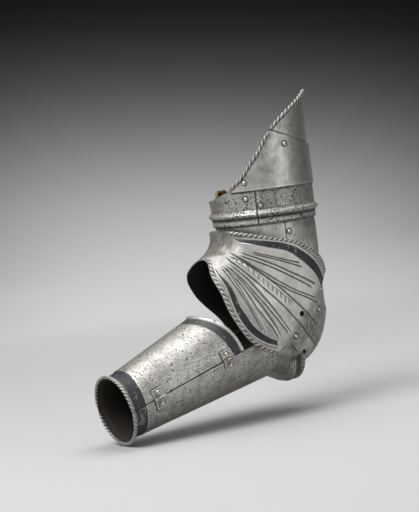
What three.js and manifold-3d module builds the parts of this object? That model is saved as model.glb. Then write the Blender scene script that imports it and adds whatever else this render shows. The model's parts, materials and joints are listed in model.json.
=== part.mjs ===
// A steel vambrace: the armour of one arm, from above the elbow down to the wrist.
// The upper plates turn on a bead round the upper arm. Two lames join the winged
// elbow plate to the sleeve above it and to the hinged forearm cannon below it.
// Millimetres. The origin is the centre of the elbow, +Z runs up the upper arm,
// +X points to the back of the elbow and -Y to the outer side of the arm.
import * as THREE from "three";
import { mergeVertices } from "three/addons/utils/BufferGeometryUtils.js";
import Module from "manifold-3d";

const wasm = await Module();
wasm.setup();

// Plates and fits
const WALL = 1.4; // thickness of a plate
const PLAY = 0.4; // gap between plates that slide on each other
const SEAT = 0.3; // gap between pieces that are fastened to each other
const BITE = 0.3; // how far joined stretches of one piece reach into each other
const OVERRUN = 20; // how far a cutting shape runs past what it cuts
const ROLL_HEIGHT = 1.3; // how far a rolled edge stands out of its plate
const ROLL_WIDTH = 3.6; // breadth of a rolled edge

// Upper arm
const BEAD_RADIUS = 60; // outside of the bead that the upper plates turn on
const BEAD_RISE = 3.4; // height of the bead above its band
const BEAD_HALF = 5.2; // half of the bead's breadth along the arm
const FLANGE_HALF = 3.4; // the same of the sleeve's flange inside it
const BEAD_Z = 116;
const LIP_Z = 105; // lower edge of the turning band, below the bead
const BAND_LOW_Z = 133; // top of the turning band at its open front
const BAND_HIGH_Z = 157; // top of the turning band under the shoulder plate
const BAND_FLARE = 1.2; // how far the band's front top leans out
const SLEEVE_RADIUS = 55.2; // outside of the sleeve below the bead
const SLEEVE_WALL = 1.2; // the sleeve is thinner, so that its edge turns inside the bead
const SLEEVE_FRONT_TAPER = 2.4; // how much nearer the sleeve lies at the front
const SLEEVE_SIDE_TAPER = 2.8; // how much flatter its sides are below, under the wing
const SLEEVE_SIDE_Z = 82; // where that starts
const SLEEVE_SIDE_LENGTH = 20;
const SLEEVE_TAPER_LENGTH = 12; // length over which the sleeve widens to its full radius
const SLEEVE_FRONT_Z = 90; // lower edge of the sleeve at the front
const SHOULDER_LOW_Z = 141; // lower edge of the shoulder plate
const SHOULDER_RADIUS = BEAD_RADIUS - BEAD_RISE + WALL + SEAT; // the shoulder plate lies on the band
const SHOULDER_LEAN = 0.5; // how much it narrows up to the seam
const SEAM_Z = 184; // seam between shoulder and point plates, on their centre line
const SEAM_OVERLAP = 9; // how far the point plate reaches below that seam
const TIP_Z = 242;
const TIP_FLARE = 2.8; // how far the point leans out
const CREST_ANGLE = -38; // where round the arm the point stands, in degrees
const BAND_SEAM_ANGLE = 93; // seams of the turning band, either side of the crest
const SLEEVE_SEAM_ANGLE = 101.5; // seams of the sleeve, either side of its back
const LAP = 9; // width of a lapped seam

// Elbow
const ELBOW_BEND = 107.18; // degrees between the upper arm and the forearm
const RIB_TILT = 45; // degrees that the elbow plate's middle leans below +X
const ELBOW_BACK = 57; // middle of the elbow plate: to its back point
const ELBOW_SIDE = 50; // to its flat sides
const ELBOW_FRONT = 110; // to its crease in the crook
const CREASE_RISE = 12; // how far the crease lies above the plate's middle
const WING_RADIUS = 57.8; // outside of the wing's upper edge, round the upper arm
const WING_SIDE = 59.5; // the same to the side
const CROOK_REACH = 63; // upper edge in the crook, from the upper arm's axis
const CROOK_HEIGHT = 100; // and its height
const LOBE_SIDE = 57; // lower edge of the wing, to the side
const LOBE_REACH = 97; // lower edge in the crook, from the forearm's axis
const LOBE_DEPTH = 82; // furthest lower edge of the wing, along the forearm
const CAP_TOP = 33.5; // upper edge of the elbow's cap, from the plate's middle
const CAP_STEP = 26.5; // where the cap's lower edge drops behind the lame
const CAP_CROSSING = 23.5; // that edge where it crosses the lame's
const CAP_BOTTOM = 31.5; // lower edge of the cap beside the wing
const CAP_TUCK = 42; // lower edge of the cap behind, inside the lower lame
const LOBE_END = 3.5; // where the wing's ends stop, behind the plate's centre
const LOBE_NOTCH = -3; // the same below
const CORNER = 5; // rounding of the cut corners
const LACE_HOLE = 3.2; // radius of the open hole at the elbow's centre

// Lames
const UPPER_LAME_LOW_SHARE = 0.2; // edges of the upper lame, as shares of the plate's half width
const UPPER_LAME_HIGH_SHARE = 0.86;
const BOWL_SIDE = 50.2; // lower lame: half of its width
const BOWL_EAR = 44.5; // the same at its ears, inside the elbow plate
const BOWL_DEPTH = 62; // its reach to the back
const BOWL_DROP = 8; // how far its centre lies behind the forearm's axis
const BOWL_EDGE = 10.5; // its rolled edge, along the forearm
const BOWL_TUCK = 60; // its other edge, inside the cannon
const BOWL_TUCK_SLOPE = 0.08; // how fast it narrows in there, which lets it swing
const BOWL_MOUTH = 42; // where it starts to widen out of the cannon
const UPPER_LAME_SPAN = 70; // degrees from the back of the elbow to the ends of the upper lame
const LOWER_LAME_END = 90; // degrees from the crook to the ends of the lower lame
const BOWL_EAR_TOP = 48; // and at their ends
const BOWL_EAR_LENGTH = 25; // length over which they widen to that
const BOWL_EAR_LOW = 41; // how far behind the forearm's axis its ears start to step in
const BOWL_EAR_STEP = 4; // length of that step
const BOWL_EAR_DEPTH = 22; // how far along the forearm they stay stepped in
const BOWL_EAR_EDGE = 9.5; // its edge there, along the forearm
const BOWL_SLOPE = 0.85; // how fast it widens out of the cannon

// Forearm
const CANNON_RADIUS = 51; // outside of the cannon at its elbow end
const CANNON_ELBOW = 48; // where that is measured, along the forearm
const WRIST_RADIUS = 34.6; // outside of the cannon just before its wrist flare
const WRIST_LENGTH = 225.5; // from the elbow's centre to the wrist rim
const WRIST_RIM_RADIUS = 37.2; // outside of the flared rim
const WRIST_FLARE_LENGTH = 9;
const WRIST_SKEW = 5.1; // how much further the rear of the rim reaches
const REAR_RIM = 43.5; // elbow end of the rear half
const REAR_RIM_SKEW = 4;
const REAR_CORNER = 6; // how far its corners beside the front half are cut back
const CROOK_RIM = 97; // elbow end of the front half, in the crook
const SEAM_RIM = 82; // elbow end of the front half, beside the hinges
const RIM_SWEEP = 3.5; // power of the curve between the two

// Fasteners
const POINT_RIVET_TURN = 54; // degrees from the crest
const POINT_RIVET_Z = 187;
const SHOULDER_RIVET_TURN = 103;
const SHOULDER_RIVET_Z = 150.5;
const BAND_RIVET_Z = 124.5;
const SLEEVE_RIVET_Z = 93.5;
const LINING_RIVET_TURN = 104; // a rivet of the lining, in the front of the band
const LINING_RIVET_Z = 133;
const PIVOT_PLAYS = { // room between the plates at each pivot
  sleeve_outer: 0.9, sleeve_inner: 0.9, upper_outer: 1, upper_inner: 2.3,
  lower_outer: 1.8, lower_inner: 3.9, cannon_outer: 1.9, cannon_inner: 1.9,
};
const STRAP_RIVET_Z = 126.5;
const RIVET_HEAD = 2.3; // radius of a rivet's head
const RIVET_DOME = 1.5;
const RIVET_SHANK = 1.1;
const RIVET_TAIL = 1.9;
const RIVET_TAIL_HEIGHT = 0.7;
const HINGE_PLACES = [102.5, 190]; // middles of the two hinges, along the forearm
const HINGE_WIDTH = 12.5;
const HINGE_REACH = 10.5; // how far a leaf runs from its pin
const HINGE_GAP = 1.3; // gap between the two halves along the hinges
const LEAF_WALL = 1;
const PIN_RADIUS = 0.8;
const KNUCKLE_WALL = 0.8;
const PIN_HEAD = 1.3; // radius of the pin's upset ends
const PIN_HEAD_LENGTH = 0.8;
const KNUCKLE_GAP_SHARE = 0.03; // gap between knuckles, as a share of the hinge's width

// Strap and buckle
const STRAP_WIDTH = 13;
const STRAP_WALL = 2;
const STRAP_LENGTH = 18.5;
const STRAP_ANGLE = 115; // where round the arm the strap hangs
const STRAP_LOW_Z = 122.5;
const BUCKLE_WIRE = 1.1; // radius of the buckle's bars
const BUCKLE_LENGTH = 10;
const TONGUE_WIDTH = 2.4; // breadth of the buckle's tongue
const TONGUE_WALL = 1.2;

// Surface resolution: how many steps an edge takes
const RING_STEPS = 48;
const DEGREES_PER_STEP = 9;
const ROUND_STEPS = 8;
const SEARCH_STEPS = 12;
const SLOPE_STEP = 1e-3;
const LAP_STEPS = 9;
const LEAF_STEPS = 3;
const LAME_STEPS = 4;
const REAR_CORNER_SHARE = 0.3;
const LAP_ROOT_TURN = 3; // degrees that a tongue reaches back under its own plate
const LAP_RAMP_TURN = 1.5; // degrees over which it steps down
const MIDDLE_ROUNDNESS = 0.85; // under 1 makes the elbow's middle line fuller than an ellipse
const ROLLED_TOP_SHARES = [0, 0.25, 0.5, 0.75, 0.9, 0.94, 0.97, 1];
const CANNON_SHARES = [0, 0.01, 0.022, 0.25, 0.5, 0.75, 0.94, 0.965, 0.982, 1];
const TONGUE_START_SHARE = 0.02;
const TONGUE_END_SHARE = 0.95;
const LOWER_LAME_KNEE_SHARE = 0.7;
const LOWER_LAME_SHARES = [0, 0.035, 0.065, 0.11, 0.25, 0.4, 0.55, 0.7, 1];
const BAND_KNEE_SHARE = 0.7;
const BAND_ROWS = [0, 0.25, 0.33, 0.4, 0.475, 0.55, 0.62, 0.7, 0.74, 0.87, 1];
const SLEEVE_KNEE_SHARE = 0.6;
const SLEEVE_ROWS = [0, 0.2, 0.4, 0.5, 0.6, 0.76, 0.87, 0.915, 0.957, 1];

// Outlines. Each pair is a place and a height, both as shares of the named sizes.
const TIP_EDGE_SHARES = [[0, 1], [0.08, 0.97], [0.2, 0.86], [0.33, 0.72], [0.46, 0.54], [0.58, 0.33]];
const SEAM_SHARES = [[0, 0], [0.23, 0.076], [0.42, 0.2], [0.58, 0.33], [1, 0.7]];
const SHOULDER_EDGE_SHARES = [[0.5, 1.08], [0.59, 0.97], [0.7, 0.66], [0.78, 0.48], [0.87, 0.26], [1, 0.07]];
const SHOULDER_SPAN = 121; // degrees from the crest to the end of the shoulder plate
const POINT_SPAN_SHARE = 0.575; // the point plate's span as a share of it
const BAND_TOP_SHARES = [
  [0, 0], [0.11, 0.02], [0.2, 0.2], [0.26, 0.32], [0.31, 0.43], [0.36, 0.57], [0.43, 0.93], [0.5, 1], [1, 1],
];
const SLEEVE_LOW_SHARES = [[-1, 1], [-0.5, 0.85], [0, 0.57], [0.3, 0.38], [0.6, 0.2], [1, -0.05]];
const WING_TOP_SHARES = [
  [-1, 1.025], [-0.87, 0.985], [-0.49, 0.905], [-0.18, 0.85], [0.14, 0.765], [0.43, 0.67],
  [0.66, 0.55], [0.8, 0.43], [1, 0.27],
];
const BAND_INNER_SHARES = [
  [-1, 1.025], [-0.87, 0.985], [-0.49, 0.84], [-0.18, 0.67], [0.14, 0.48], [0.43, 0.35],
  [0.66, 0.27], [0.8, 0.25], [1, 0.27],
];
const WING_LOW_SHARES = [
  [-0.53, 0.5], [-0.24, 0.54], [-0.11, 0.73], [0.02, 0.87], [0.17, 0.955], [0.46, 1],
  [0.68, 0.955], [0.87, 0.9], [1, 0.74],
];
const WING_LOW_INNER_SHARES = [
  [-0.53, 0.5], [-0.24, 0.38], [-0.11, 0.36], [0.02, 0.38], [0.19, 0.46], [0.38, 0.6],
  [0.58, 0.73], [0.85, 0.83], [1, 0.74],
];
const LOBE_REAR_SHARE = 0.53; // rear reach of the wing's lower curve, of its crook reach
const PIVOT_SHARES = {
  sleeve: [0.56, 0.438],
  upper: [0.415, 0.077],
  lower: [-0.198, -0.32],
  cannon: [-0.793, -0.43],
};

const FULL_TURN = 360;
const HALF_TURN = 180;
const QUARTER_TURN = 90;
const radians = THREE.MathUtils.degToRad;
const mix = THREE.MathUtils.lerp;
const cosine = (degrees) => Math.cos(radians(degrees));
const sine = (degrees) => Math.sin(radians(degrees));
const vector = (x, y, z) => new THREE.Vector3(x, y, z);
const eased = (x) => THREE.MathUtils.smoothstep(x, 0, 1);

// A smooth line through a table of places and heights.
function through(table, place) {
  const at = THREE.MathUtils.clamp(place, table[0][0], table.at(-1)[0]);
  const next = Math.max(1, table.findIndex(([x]) => x >= at));
  const slope = (i) => {
    const low = table[Math.max(0, i - 1)];
    const high = table[Math.min(table.length - 1, i + 1)];
    return (high[1] - low[1]) / (high[0] - low[0]);
  };
  const [x0, y0] = table[next - 1];
  const [x1, y1] = table[next];
  const width = x1 - x0;
  const t = (at - x0) / width;
  const rise = slope(next - 1) * width * t * (1 - t) ** 2 - slope(next) * width * t * t * (1 - t);
  return mix(y0, y1, eased(t)) + rise;
}

// Shares from 0 to 1 with extra ones close to the rolled edges.
function shares(steps, rolls) {
  const even = Array.from({ length: steps + 1 }, (_, i) => i / steps);
  const near = [0.35, 0.7, 1].map((x) => x * rolls);
  const ends = [...near, ...near.map((x) => 1 - x)];
  const inner = even.filter((x) => x === 0 || x === 1 || (x > rolls && x < 1 - rolls));
  return [...inner, ...(rolls ? ends : [])].sort((a, b) => a - b);
}

// Solids
function solidFrom(geometry) {
  const bare = geometry.clone();
  bare.deleteAttribute("normal");
  bare.deleteAttribute("uv");
  const merged = mergeVertices(bare);
  return new wasm.Manifold(
    new wasm.Mesh({
      numProp: 3,
      vertProperties: new Float32Array(merged.attributes.position.array),
      triVerts: new Uint32Array(merged.index.array),
    }),
  );
}

function geometryFrom(solid) {
  const mesh = solid.getMesh();
  const geometry = new THREE.BufferGeometry();
  geometry.setAttribute("position", new THREE.BufferAttribute(mesh.vertProperties, mesh.numProp));
  geometry.setIndex(new THREE.BufferAttribute(mesh.triVerts, 1));
  geometry.computeVertexNormals();
  return geometry;
}

function normalAt(surface, u, v) {
  const across = surface(u + SLOPE_STEP, v).sub(surface(u - SLOPE_STEP, v));
  const along = surface(u, v + SLOPE_STEP).sub(surface(u, v - SLOPE_STEP));
  return across.cross(along).normalize();
}

// A surface that lies a depth further in than another one.
function inside(surface, depth) {
  return (u, v) => {
    const sunk = typeof depth === "function" ? depth(u, v) : depth;
    return surface(u, v).addScaledVector(normalAt(surface, u, v), -sunk);
  };
}

// A plate of one wall under a surface. The surface takes a turn in degrees and a share
// of its height. Raise lifts the outer face, for a rolled edge.
function plate(surface, from, to, heights, { raise = () => 0, wall = WALL, steps } = {}) {
  const ring = Math.abs(to - from) >= FULL_TURN;
  const count = steps ?? Math.max(2, Math.round(Math.abs(to - from) / DEGREES_PER_STEP));
  const columns = ring ? count : count + 1;
  const rows = heights.length;
  const places = [];
  for (let i = 0; i < columns; i += 1) {
    const u = mix(from, to, i / count);
    for (const v of heights) {
      const normal = normalAt(surface, u, v);
      const middle = surface(u, v);
      places.push(middle.clone().addScaledVector(normal, raise(u, v)));
      places.push(middle.addScaledVector(normal, -wall));
    }
  }
  const outer = (i, j) => ((i % columns) * rows + j) * 2;
  const inner = (i, j) => outer(i, j) + 1;
  const faces = [];
  const quad = (a, b, c, d) => faces.push(a, b, c, a, c, d);
  for (let i = 0; i < count; i += 1) {
    for (let j = 0; j < rows - 1; j += 1) {
      quad(outer(i, j), outer(i + 1, j), outer(i + 1, j + 1), outer(i, j + 1));
      quad(inner(i, j), inner(i, j + 1), inner(i + 1, j + 1), inner(i + 1, j));
    }
    const top = rows - 1;
    quad(outer(i, top), outer(i + 1, top), inner(i + 1, top), inner(i, top));
    quad(outer(i, 0), inner(i, 0), inner(i + 1, 0), outer(i + 1, 0));
  }
  for (let j = 0; !ring && j < rows - 1; j += 1) {
    quad(outer(count, j), inner(count, j), inner(count, j + 1), outer(count, j + 1));
    quad(outer(0, j), outer(0, j + 1), inner(0, j + 1), inner(0, j));
  }
  const geometry = new THREE.BufferGeometry();
  geometry.setAttribute("position", new THREE.Float32BufferAttribute(places.flatMap((p) => p.toArray()), 3));
  geometry.setIndex(faces);
  return solidFrom(geometry);
}

// The tongue of a lapped seam: it leaves the plate at one turn and runs under its neighbour.
function tongue(surface, root, tip, heights) {
  const way = Math.sign(tip - root);
  const start = root - way * LAP_ROOT_TURN;
  const depth = (turn) => {
    const past = ((turn - root) * way) / LAP_RAMP_TURN + 1;
    return mix(WALL - BITE, WALL + SEAT, eased(past));
  };
  const ends = [start, tip].sort((x, y) => x - y);
  return plate(inside(surface, depth), ends[0], ends[1], heights, { steps: LAP_STEPS });
}

// A rolled edge: how far it stands out at a distance from the edge.
function roll(distance) {
  const share = distance / ROLL_WIDTH;
  return share >= 1 || share < 0 ? 0 : ROLL_HEIGHT * Math.sin(Math.PI * mix(0.25, 1, share));
}

// The place on a surface that has a given x and z, on the side that the guess lies on.
function placeOn(surface, x, z, guess) {
  let [u, v] = guess;
  for (let i = 0; i < SEARCH_STEPS; i += 1) {
    const here = surface(u, v);
    const across = surface(u + SLOPE_STEP, v).sub(here).divideScalar(SLOPE_STEP);
    const along = surface(u, v + SLOPE_STEP).sub(here).divideScalar(SLOPE_STEP);
    const missX = x - here.x;
    const missZ = z - here.z;
    const area = across.x * along.z - across.z * along.x;
    u += (missX * along.z - missZ * along.x) / area;
    v += (across.x * missZ - across.z * missX) / area;
  }
  return { point: surface(u, v), normal: normalAt(surface, u, v) };
}

function turnedTo(geometry, point, direction) {
  const turn = new THREE.Quaternion().setFromUnitVectors(vector(0, 1, 0), direction);
  return geometry.applyQuaternion(turn).translate(point.x, point.y, point.z);
}

function drilled(solid, { point, normal }, radius) {
  const drill = new THREE.CylinderGeometry(radius, radius, 2 * OVERRUN, ROUND_STEPS);
  return solid.subtract(solidFrom(turnedTo(drill, point, normal)));
}

// A domed rivet through a stack of plates: its head, its shank and its hammered end.
function rivetGeometry(place, stack) {
  const under = SEAT;
  const back = -stack - SEAT;
  const outline = [new THREE.Vector2(0, back - RIVET_TAIL_HEIGHT)];
  outline.push(new THREE.Vector2(RIVET_TAIL, back - RIVET_TAIL_HEIGHT));
  outline.push(new THREE.Vector2(RIVET_TAIL, back));
  outline.push(new THREE.Vector2(RIVET_SHANK, back));
  outline.push(new THREE.Vector2(RIVET_SHANK, under));
  for (const share of [0, 0.45, 0.8]) {
    const turn = (share * Math.PI) / 2;
    outline.push(new THREE.Vector2(RIVET_HEAD * Math.cos(turn), under + RIVET_DOME * Math.sin(turn)));
  }
  outline.push(new THREE.Vector2(0, under + RIVET_DOME));
  return turnedTo(new THREE.LatheGeometry(outline, ROUND_STEPS), place.point, place.normal);
}

// Round the upper arm
const BAND_RADIUS = BEAD_RADIUS - BEAD_RISE;

function fromCrest(turn) {
  const off = THREE.MathUtils.euclideanModulo(turn - CREST_ANGLE + HALF_TURN, FULL_TURN) - HALF_TURN;
  return Math.abs(off);
}

function swell(z, half) {
  const off = (z - BEAD_Z) / half;
  return Math.abs(off) < 1 ? BEAD_RISE * Math.cos((off * Math.PI) / 2) ** 2 : 0;
}

const around = (radius, turn, z) => vector(radius * cosine(turn), radius * sine(turn), z);

function bandTop(turn) {
  const off = (HALF_TURN - fromCrest(turn)) / HALF_TURN;
  return mix(BAND_LOW_Z, BAND_HIGH_Z, through(BAND_TOP_SHARES, off));
}

const bandCore = (turn, z) => around(BAND_RADIUS + swell(z, BEAD_HALF), turn, z);

function bandAt(turn, z) {
  const front = eased((fromCrest(turn) - SHOULDER_SPAN) / (HALF_TURN - SHOULDER_SPAN));
  const lean = BAND_FLARE * front * eased((z - BEAD_Z - BEAD_HALF) / (BAND_LOW_Z - BEAD_Z - BEAD_HALF));
  return bandCore(turn, z).add(around(lean, turn, 0));
}

// A height that passes a knee at a fixed share of the rows, so that a bead stays level.
function kneed(row, low, knee, high, kneeShare) {
  const past = (row - kneeShare) / (1 - kneeShare);
  return row < kneeShare ? mix(low, knee, row / kneeShare) : mix(knee, high, past);
}

const bandSurface = (turn, row) => (
  bandAt(turn, kneed(row, LIP_Z, BEAD_Z + BEAD_HALF, bandTop(turn), BAND_KNEE_SHARE))
);

function shoulderAt(turn, z) {
  const up = (z - SHOULDER_LOW_Z) / (SEAM_Z - SHOULDER_LOW_Z);
  return around(SHOULDER_RADIUS - SHOULDER_LEAN * up, turn, z);
}

const shoulderSurface = (turn, share) => shoulderAt(turn, mix(SHOULDER_LOW_Z, shoulderTop(turn), share));

function seamHeight(turn) {
  const off = fromCrest(turn) / SHOULDER_SPAN;
  return mix(SEAM_Z, TIP_Z, through(SEAM_SHARES, off));
}

function shoulderTop(turn) {
  const off = fromCrest(turn) / SHOULDER_SPAN;
  const edge = mix(SHOULDER_LOW_Z, seamHeight(CREST_ANGLE + POINT_SPAN_SHARE * SHOULDER_SPAN),
    through(SHOULDER_EDGE_SHARES, off));
  return Math.min(seamHeight(turn), edge);
}

function tipEdge(turn) {
  return mix(SEAM_Z, TIP_Z, through(TIP_EDGE_SHARES, fromCrest(turn) / SHOULDER_SPAN));
}

function pointSurface(turn, share) {
  const z = mix(seamHeight(turn) - SEAM_OVERLAP, tipEdge(turn), share);
  const up = Math.max(0, z - seamHeight(turn)) / (TIP_Z - SEAM_Z);
  return inside(shoulderAt, WALL + SEAT)(turn, z).add(around(TIP_FLARE * up, turn, 0));
}

function sleeveLow(turn) {
  return SLEEVE_FRONT_Z * through(SLEEVE_LOW_SHARES, cosine(turn));
}

function sleeveRadius(turn, z) {
  const flange = BAND_RADIUS - WALL - 2 * PLAY;
  const body = mix(SLEEVE_RADIUS, flange, eased((z - LIP_Z + SLEEVE_TAPER_LENGTH) / SLEEVE_TAPER_LENGTH));
  const front = eased((LIP_Z - z) / SLEEVE_TAPER_LENGTH) * ((1 - cosine(turn)) / 2) ** 2;
  const side = eased((SLEEVE_SIDE_Z - z) / SLEEVE_SIDE_LENGTH) * sine(turn) ** 4;
  return body - SLEEVE_FRONT_TAPER * front - SLEEVE_SIDE_TAPER * side;
}

// The sleeve's top swells into the hollow of the bead, which holds it in.
const sleeveAt = (turn, z) => around(sleeveRadius(turn, z) + swell(z, FLANGE_HALF), turn, z);
const sleeveSurface = (turn, row) => (
  sleeveAt(turn, kneed(row, sleeveLow(turn), LIP_Z, BEAD_Z, SLEEVE_KNEE_SHARE))
);

// Elbow plate. Its middle line, its upper edge and its lower edge each have their own
// curve, and every line across the plate is the arc through the three.
const backward = vector(cosine(RIB_TILT), 0, -sine(RIB_TILT));
const upward = vector(sine(RIB_TILT), 0, cosine(RIB_TILT));
const forearm = vector(-sine(ELBOW_BEND), 0, cosine(ELBOW_BEND));
const crookward = vector(cosine(ELBOW_BEND), 0, sine(ELBOW_BEND));

function rounder(value) {
  return Math.sign(value) * Math.abs(value) ** MIDDLE_ROUNDNESS;
}

function middleLine(turn) {
  const c = cosine(turn);
  const reach = c > 0 ? ELBOW_BACK * c : ELBOW_FRONT * rounder(c);
  const side = c > 0 ? ELBOW_SIDE * sine(turn) : ELBOW_SIDE * rounder(sine(turn));
  const rise = c > 0 ? 0 : CREASE_RISE * c * c;
  return vector(0, side, 0).addScaledVector(backward, reach).addScaledVector(upward, rise);
}

const outerSide = (turn) => sine(turn) < 0;

function upperEdge(turn) {
  const c = cosine(turn);
  const x = c > 0 ? WING_RADIUS * c : CROOK_REACH * c;
  const table = outerSide(turn) ? WING_TOP_SHARES : BAND_INNER_SHARES;
  return vector(x, WING_SIDE * sine(turn), CROOK_HEIGHT * through(table, c));
}

function lowerEdge(turn) {
  const c = -cosine(turn);
  const share = c > 0 ? c : LOBE_REAR_SHARE * c;
  const table = outerSide(turn) ? WING_LOW_SHARES : WING_LOW_INNER_SHARES;
  const edge = vector(0, LOBE_SIDE * sine(turn), 0);
  edge.addScaledVector(crookward, LOBE_REACH * share);
  return edge.addScaledVector(forearm, LOBE_DEPTH * through(table, share));
}

function elbowSurface(turn, share) {
  const across = 2 * share - 1;
  const middle = middleLine(turn);
  const high = upperEdge(turn);
  const low = lowerEdge(turn);
  const bow = high.clone().add(low).divideScalar(2).sub(middle);
  return middle.addScaledVector(high.sub(low), across / 2).addScaledVector(bow, across * across);
}

// A prism along Y over an outline in the elbow plate's own directions.
function prism(outline, from, to) {
  const shape = new THREE.Shape(outline.map(([e, p]) => {
    const place = vector(0, 0, 0).addScaledVector(backward, e).addScaledVector(upward, p);
    return new THREE.Vector2(place.x, place.z);
  }));
  const geometry = new THREE.ExtrudeGeometry(shape, { depth: to - from, bevelEnabled: false });
  geometry.rotateX(Math.PI / 2).translate(0, to, 0);
  return solidFrom(geometry);
}

function elbowPlate() {
  const width = (turn) => upperEdge(turn).distanceTo(lowerEdge(turn));
  const raise = (turn, share) => (
    outerSide(turn) ? roll(Math.min(share, 1 - share) * width(turn)) : 0
  );
  const whole = plate(elbowSurface, 0, FULL_TURN, shares(8, 0.035), { raise, steps: RING_STEPS });
  const far = ELBOW_FRONT;
  const above = [
    [LOBE_END - CORNER, far], [LOBE_END, CAP_TOP + CORNER], [LOBE_END + CORNER, CAP_TOP],
    [far, CAP_TOP], [far, far],
  ];
  const below = [
    [LOBE_NOTCH - CORNER, -far], [LOBE_NOTCH, -CAP_TUCK], [LOBE_NOTCH + 2 * CORNER, -CAP_BOTTOM],
    [CAP_STEP - CORNER, -CAP_BOTTOM], [CAP_STEP, -CAP_CROSSING], [CAP_STEP + CORNER, -CAP_CROSSING],
    [CAP_STEP + 2 * CORNER, -CAP_TUCK], [far, -CAP_TUCK], [far, -far],
  ];
  const cut = whole.subtract(prism(above, -far, far)).subtract(prism(below, -far, far));
  const hole = { point: vector(0, -ELBOW_SIDE, LACE_HOLE), normal: vector(0, 1, 0) };
  return holed(drilled(cut, hole, LACE_HOLE), pivotsOf("upper", "lower"));
}

// Lames
function limited(point, axis, radius) {
  const along = point.dot(axis);
  const out = point.clone().addScaledVector(axis, -along);
  const reach = out.length();
  return reach <= radius ? point : out.multiplyScalar(radius / reach).addScaledVector(axis, along);
}

// The upper lame is alike on both sides of the arm, and follows the outer one.
const armAxis = vector(0, 0, 1);
const evenSurface = (turn, share) => (
  elbowSurface(-Math.abs(turn), share).multiply(vector(1, turn > 0 ? -1 : 1, 1))
);
function upperLameSurface(turn, share) {
  const across = mix(UPPER_LAME_LOW_SHARE, UPPER_LAME_HIGH_SHARE, share);
  const point = inside(evenSurface, WALL + 2 * PLAY)(turn, (across + 1) / 2);
  const place = THREE.MathUtils.radToDeg(Math.atan2(point.y, point.x));
  return limited(point, armAxis, sleeveRadius(place, point.z) - SLEEVE_WALL - 2 * PLAY);
}

function cannonRadius(t) {
  const share = (t - CANNON_ELBOW) / (WRIST_LENGTH - WRIST_FLARE_LENGTH - CANNON_ELBOW);
  return mix(CANNON_RADIUS, WRIST_RADIUS, share);
}

const inForearm = (g, y, t) => (
  vector(0, y, 0).addScaledVector(crookward, g).addScaledVector(forearm, t)
);

// How far the lower lame has stepped in, under the elbow plate, at its ears.
function earShare(turn) {
  const g = BOWL_DEPTH * cosine(turn) - BOWL_DROP;
  return eased((g + BOWL_EAR_LOW) / BOWL_EAR_STEP);
}

function lowerLameSurface(turn, share) {
  const ear = earShare(turn);
  const t = kneed(share, mix(BOWL_EDGE, BOWL_EAR_EDGE, ear), BOWL_MOUTH, BOWL_TUCK, LOWER_LAME_KNEE_SHARE);
  const g = BOWL_DEPTH * cosine(turn) - BOWL_DROP;
  const tucked = ear * (1 - eased((t - BOWL_EAR_DEPTH) / BOWL_EAR_DEPTH));
  const ears = mix(BOWL_EAR, BOWL_EAR_TOP, eased((g + BOWL_EAR_LOW) / BOWL_EAR_LENGTH));
  const y = mix(BOWL_SIDE, ears, tucked) * sine(turn);
  const inner = cannonRadius(t) - WALL - 2 * PLAY - Math.max(0, t - BOWL_MOUTH) * BOWL_TUCK_SLOPE;
  const free = inner + Math.max(0, BOWL_MOUTH - t) * BOWL_SLOPE;
  return limited(inForearm(g, y, t), forearm, free);
}

// Forearm cannon. Its turns run from the crook to the inner side.
function cannonAt(turn, t, extra = 0) {
  const radius = cannonRadius(t) + extra;
  return inForearm(radius * cosine(turn), radius * sine(turn), t);
}

function cannonSurface(rim) {
  return (turn, share) => {
    const end = WRIST_LENGTH - WRIST_SKEW * cosine(turn);
    const t = mix(rim(turn), end, share);
    return cannonAt(turn, t, eased(1 - (end - t) / WRIST_FLARE_LENGTH) * (WRIST_RIM_RADIUS - WRIST_RADIUS));
  };
}

const frontRim = (turn) => mix(SEAM_RIM, CROOK_RIM, Math.max(0, cosine(turn)) ** RIM_SWEEP);
function rearRim(turn) {
  const corner = eased(1 + cosine(turn) / REAR_CORNER_SHARE);
  return REAR_RIM + REAR_RIM_SKEW * eased(-cosine(turn)) + REAR_CORNER * corner;
}
const frontSurface = cannonSurface(frontRim);
const rearSurface = cannonSurface(rearRim);

// Places of the pivots, on the outer and on the inner side of the arm
const pivotSurfaces = {
  sleeve: { surface: sleeveSurface, outer: [-53, 0.3], inner: [53, 0.3] },
  upper: { surface: elbowSurface, outer: [300, 0.67], inner: [60, 0.7] },
  lower: { surface: elbowSurface, outer: [282, 0.33], inner: [78, 0.2] },
  cannon: { surface: rearSurface, outer: [250, 0.06], inner: [110, 0.06] },
};
const PIVOTS = Object.entries(pivotSurfaces).flatMap(([name, { surface, outer, inner }]) => (
  Object.entries({ outer, inner }).map(([side, guess]) => {
    const [x, z] = PIVOT_SHARES[name].map((share) => share * BEAD_RADIUS);
    return { name, side, ...placeOn(surface, x, z, guess) };
  })
));
const pivotsOf = (...names) => PIVOTS.filter(({ name }) => names.includes(name));

// Places of the fixed rivets, each pair alike on both sides of the plates' middle
const onPlate = (surface, turn, height) => ({
  point: surface(turn, height),
  normal: normalAt(surface, turn, height),
});
const pair = (name, surface, middle, span, height) => [["outer", -1], ["inner", 1]].map(([side, way]) => (
  { name, side, ...onPlate(surface, middle + way * span, height) }
));
const degreesAlong = (length, radius) => THREE.MathUtils.radToDeg(length / radius);
const LAP_TURN = degreesAlong(LAP, BAND_RADIUS);
const POINT_RIVETS = pair("point", shoulderAt, CREST_ANGLE, POINT_RIVET_TURN, POINT_RIVET_Z);
const SHOULDER_RIVETS = pair("shoulder", shoulderAt, CREST_ANGLE, SHOULDER_RIVET_TURN, SHOULDER_RIVET_Z);
const BAND_RIVETS = pair("band", bandAt, CREST_ANGLE, BAND_SEAM_ANGLE - LAP_TURN / 2, BAND_RIVET_Z);
const LINING_RIVETS = pair("lining", bandAt, CREST_ANGLE, LINING_RIVET_TURN, LINING_RIVET_Z);
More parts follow.
